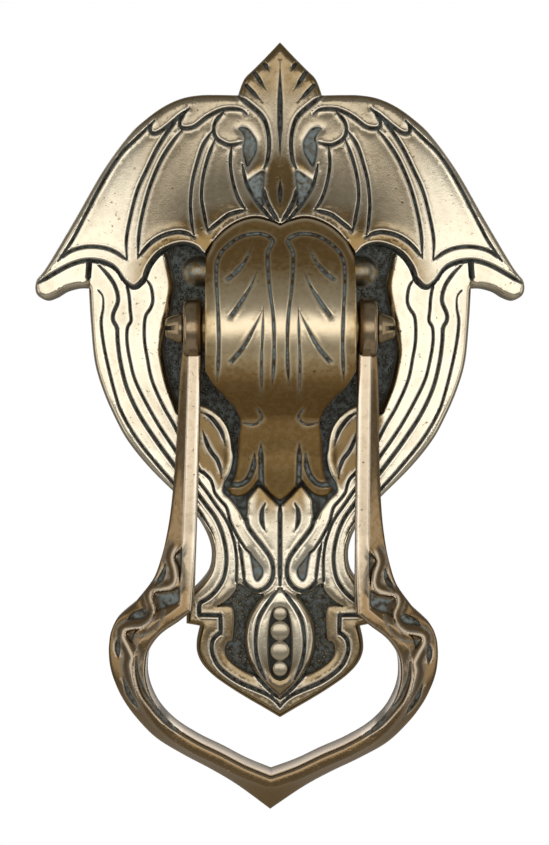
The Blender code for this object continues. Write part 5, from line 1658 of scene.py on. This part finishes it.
def white_backdrop():
    """Paper that is white to the camera, mirrors and glass, and matt pale to all other light."""
    material = pale_paint("white backdrop paper")
    tree = material.node_tree
    path = add(tree, "ShaderNodeLightPath").outputs
    mirrored = reckoned(tree, "MAXIMUM", path["Is Glossy Ray"], path["Is Transmission Ray"])
    seen = reckoned(tree, "MAXIMUM", path["Is Camera Ray"], mirrored)
    white = add(tree, "ShaderNodeEmission", {"Strength": 1.0}).outputs[0]
    paper = tree.nodes["Principled BSDF"].outputs[0]
    either = add(tree, "ShaderNodeMixShader", {0: seen, 1: paper, 2: white})
    tree.links.new(either.outputs[0], tree.nodes["Material Output"].inputs["Surface"])
    return material


def stage():
    """A pale floor disc below the view, a white backdrop far behind, and a dim warm room."""
    disc = [(x, z, 0) for x, z in circle((0, 0), FLOOR_RADIUS, FLOOR_SIDES)]
    stage_object("floor", disc, (0, 0, FLOOR_UP), pale_paint("pale floor"))
    half = BACKDROP_SIZE / 2
    sheet = [(-half, 0, -half), (half, 0, -half), (half, 0, half), (-half, 0, half)]
    stage_object("backdrop", sheet, (0, BACKDROP_BEHIND, 0), white_backdrop())
    world = bpy.data.worlds.new("studio")
    world.use_nodes = True
    bpy.context.scene.world = world
    feed(world.node_tree, world.node_tree.nodes["Background"], {
        "Color": linear(ROOM_COLOUR), "Strength": ROOM_STRENGTH,
    })


def keep(piece, body, slot, *nodes):
    """Lets a finished piece ride on a body and stand for CAD nodes, which it hides; the slot is not used."""
    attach(piece, body)
    if nodes:
        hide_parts(*nodes)


def main():
    bpy.context.scene.view_settings.view_transform = "Standard"
    plate_brass = cast_brass("sand-cast brass plate", PLATE_FINISH)
    barrel_brass = cast_brass("sand-cast brass barrel", BARREL_FINISH)
    ring_brass = cast_brass("handled red brass", RING_FINISH)
    steel = oiled_steel()
    barrel_ground = punched_patina("blackened brass ground", *BARREL_GROUND_COLOURS)
    tongue_ground = punched_patina("browned brass ground", *TONGUE_GROUND_COLOURS)
    # The darker washer brass paints the shade that falls between the eyes and the barrel.
    shaded_washer_brass = cast_brass("tarnished brass washer", SHADED_WASHER_FINISH)
    keep(backplate(plate_brass), "backplate", "plate_brass", "backplate")
    keep(hinge_barrel(barrel_brass), "backplate", "barrel_brass", "hinge_barrel")
    ring, *eyes = knocker(ring_brass)
    keep(ring, "knocker", "ring_brass", "knocker")
    for eye in eyes:
        keep(eye, "knocker", "ring_brass")
    keep(pearls(plate_brass), "backplate", "plate_brass")
    for name, outline, height, material in (
        ("barrel_ground", SIDE_GROUND, GROUND_HEIGHT, barrel_ground),
        ("tongue_ground", TONGUE_GROUND_SHAPE, TONGUE_GROUND_HEIGHT, tongue_ground),
    ):
        keep(stippled_ground(name, outline, height, material), "backplate", "plate_brass")
    for name, side in SIDES.items():
        keep(pin_cap(f"{name}_cap", side, plate_brass), "backplate", "plate_brass", f"{name}_pin_cap")
    for name, up in STUD_UPS.items():
        keep(threaded_stud(f"{name}_threaded_stud", up, steel), "backplate", "steel", f"{name}_stud")
    for name in KEPT_STEEL:
        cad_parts[name].data.materials[0] = steel
    for name in KEPT_BRASS:
        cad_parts[name].data.materials[0] = shaded_washer_brass
    stage()
    for light in LIGHTS:
        soft_light(*light)
    camera()


main()
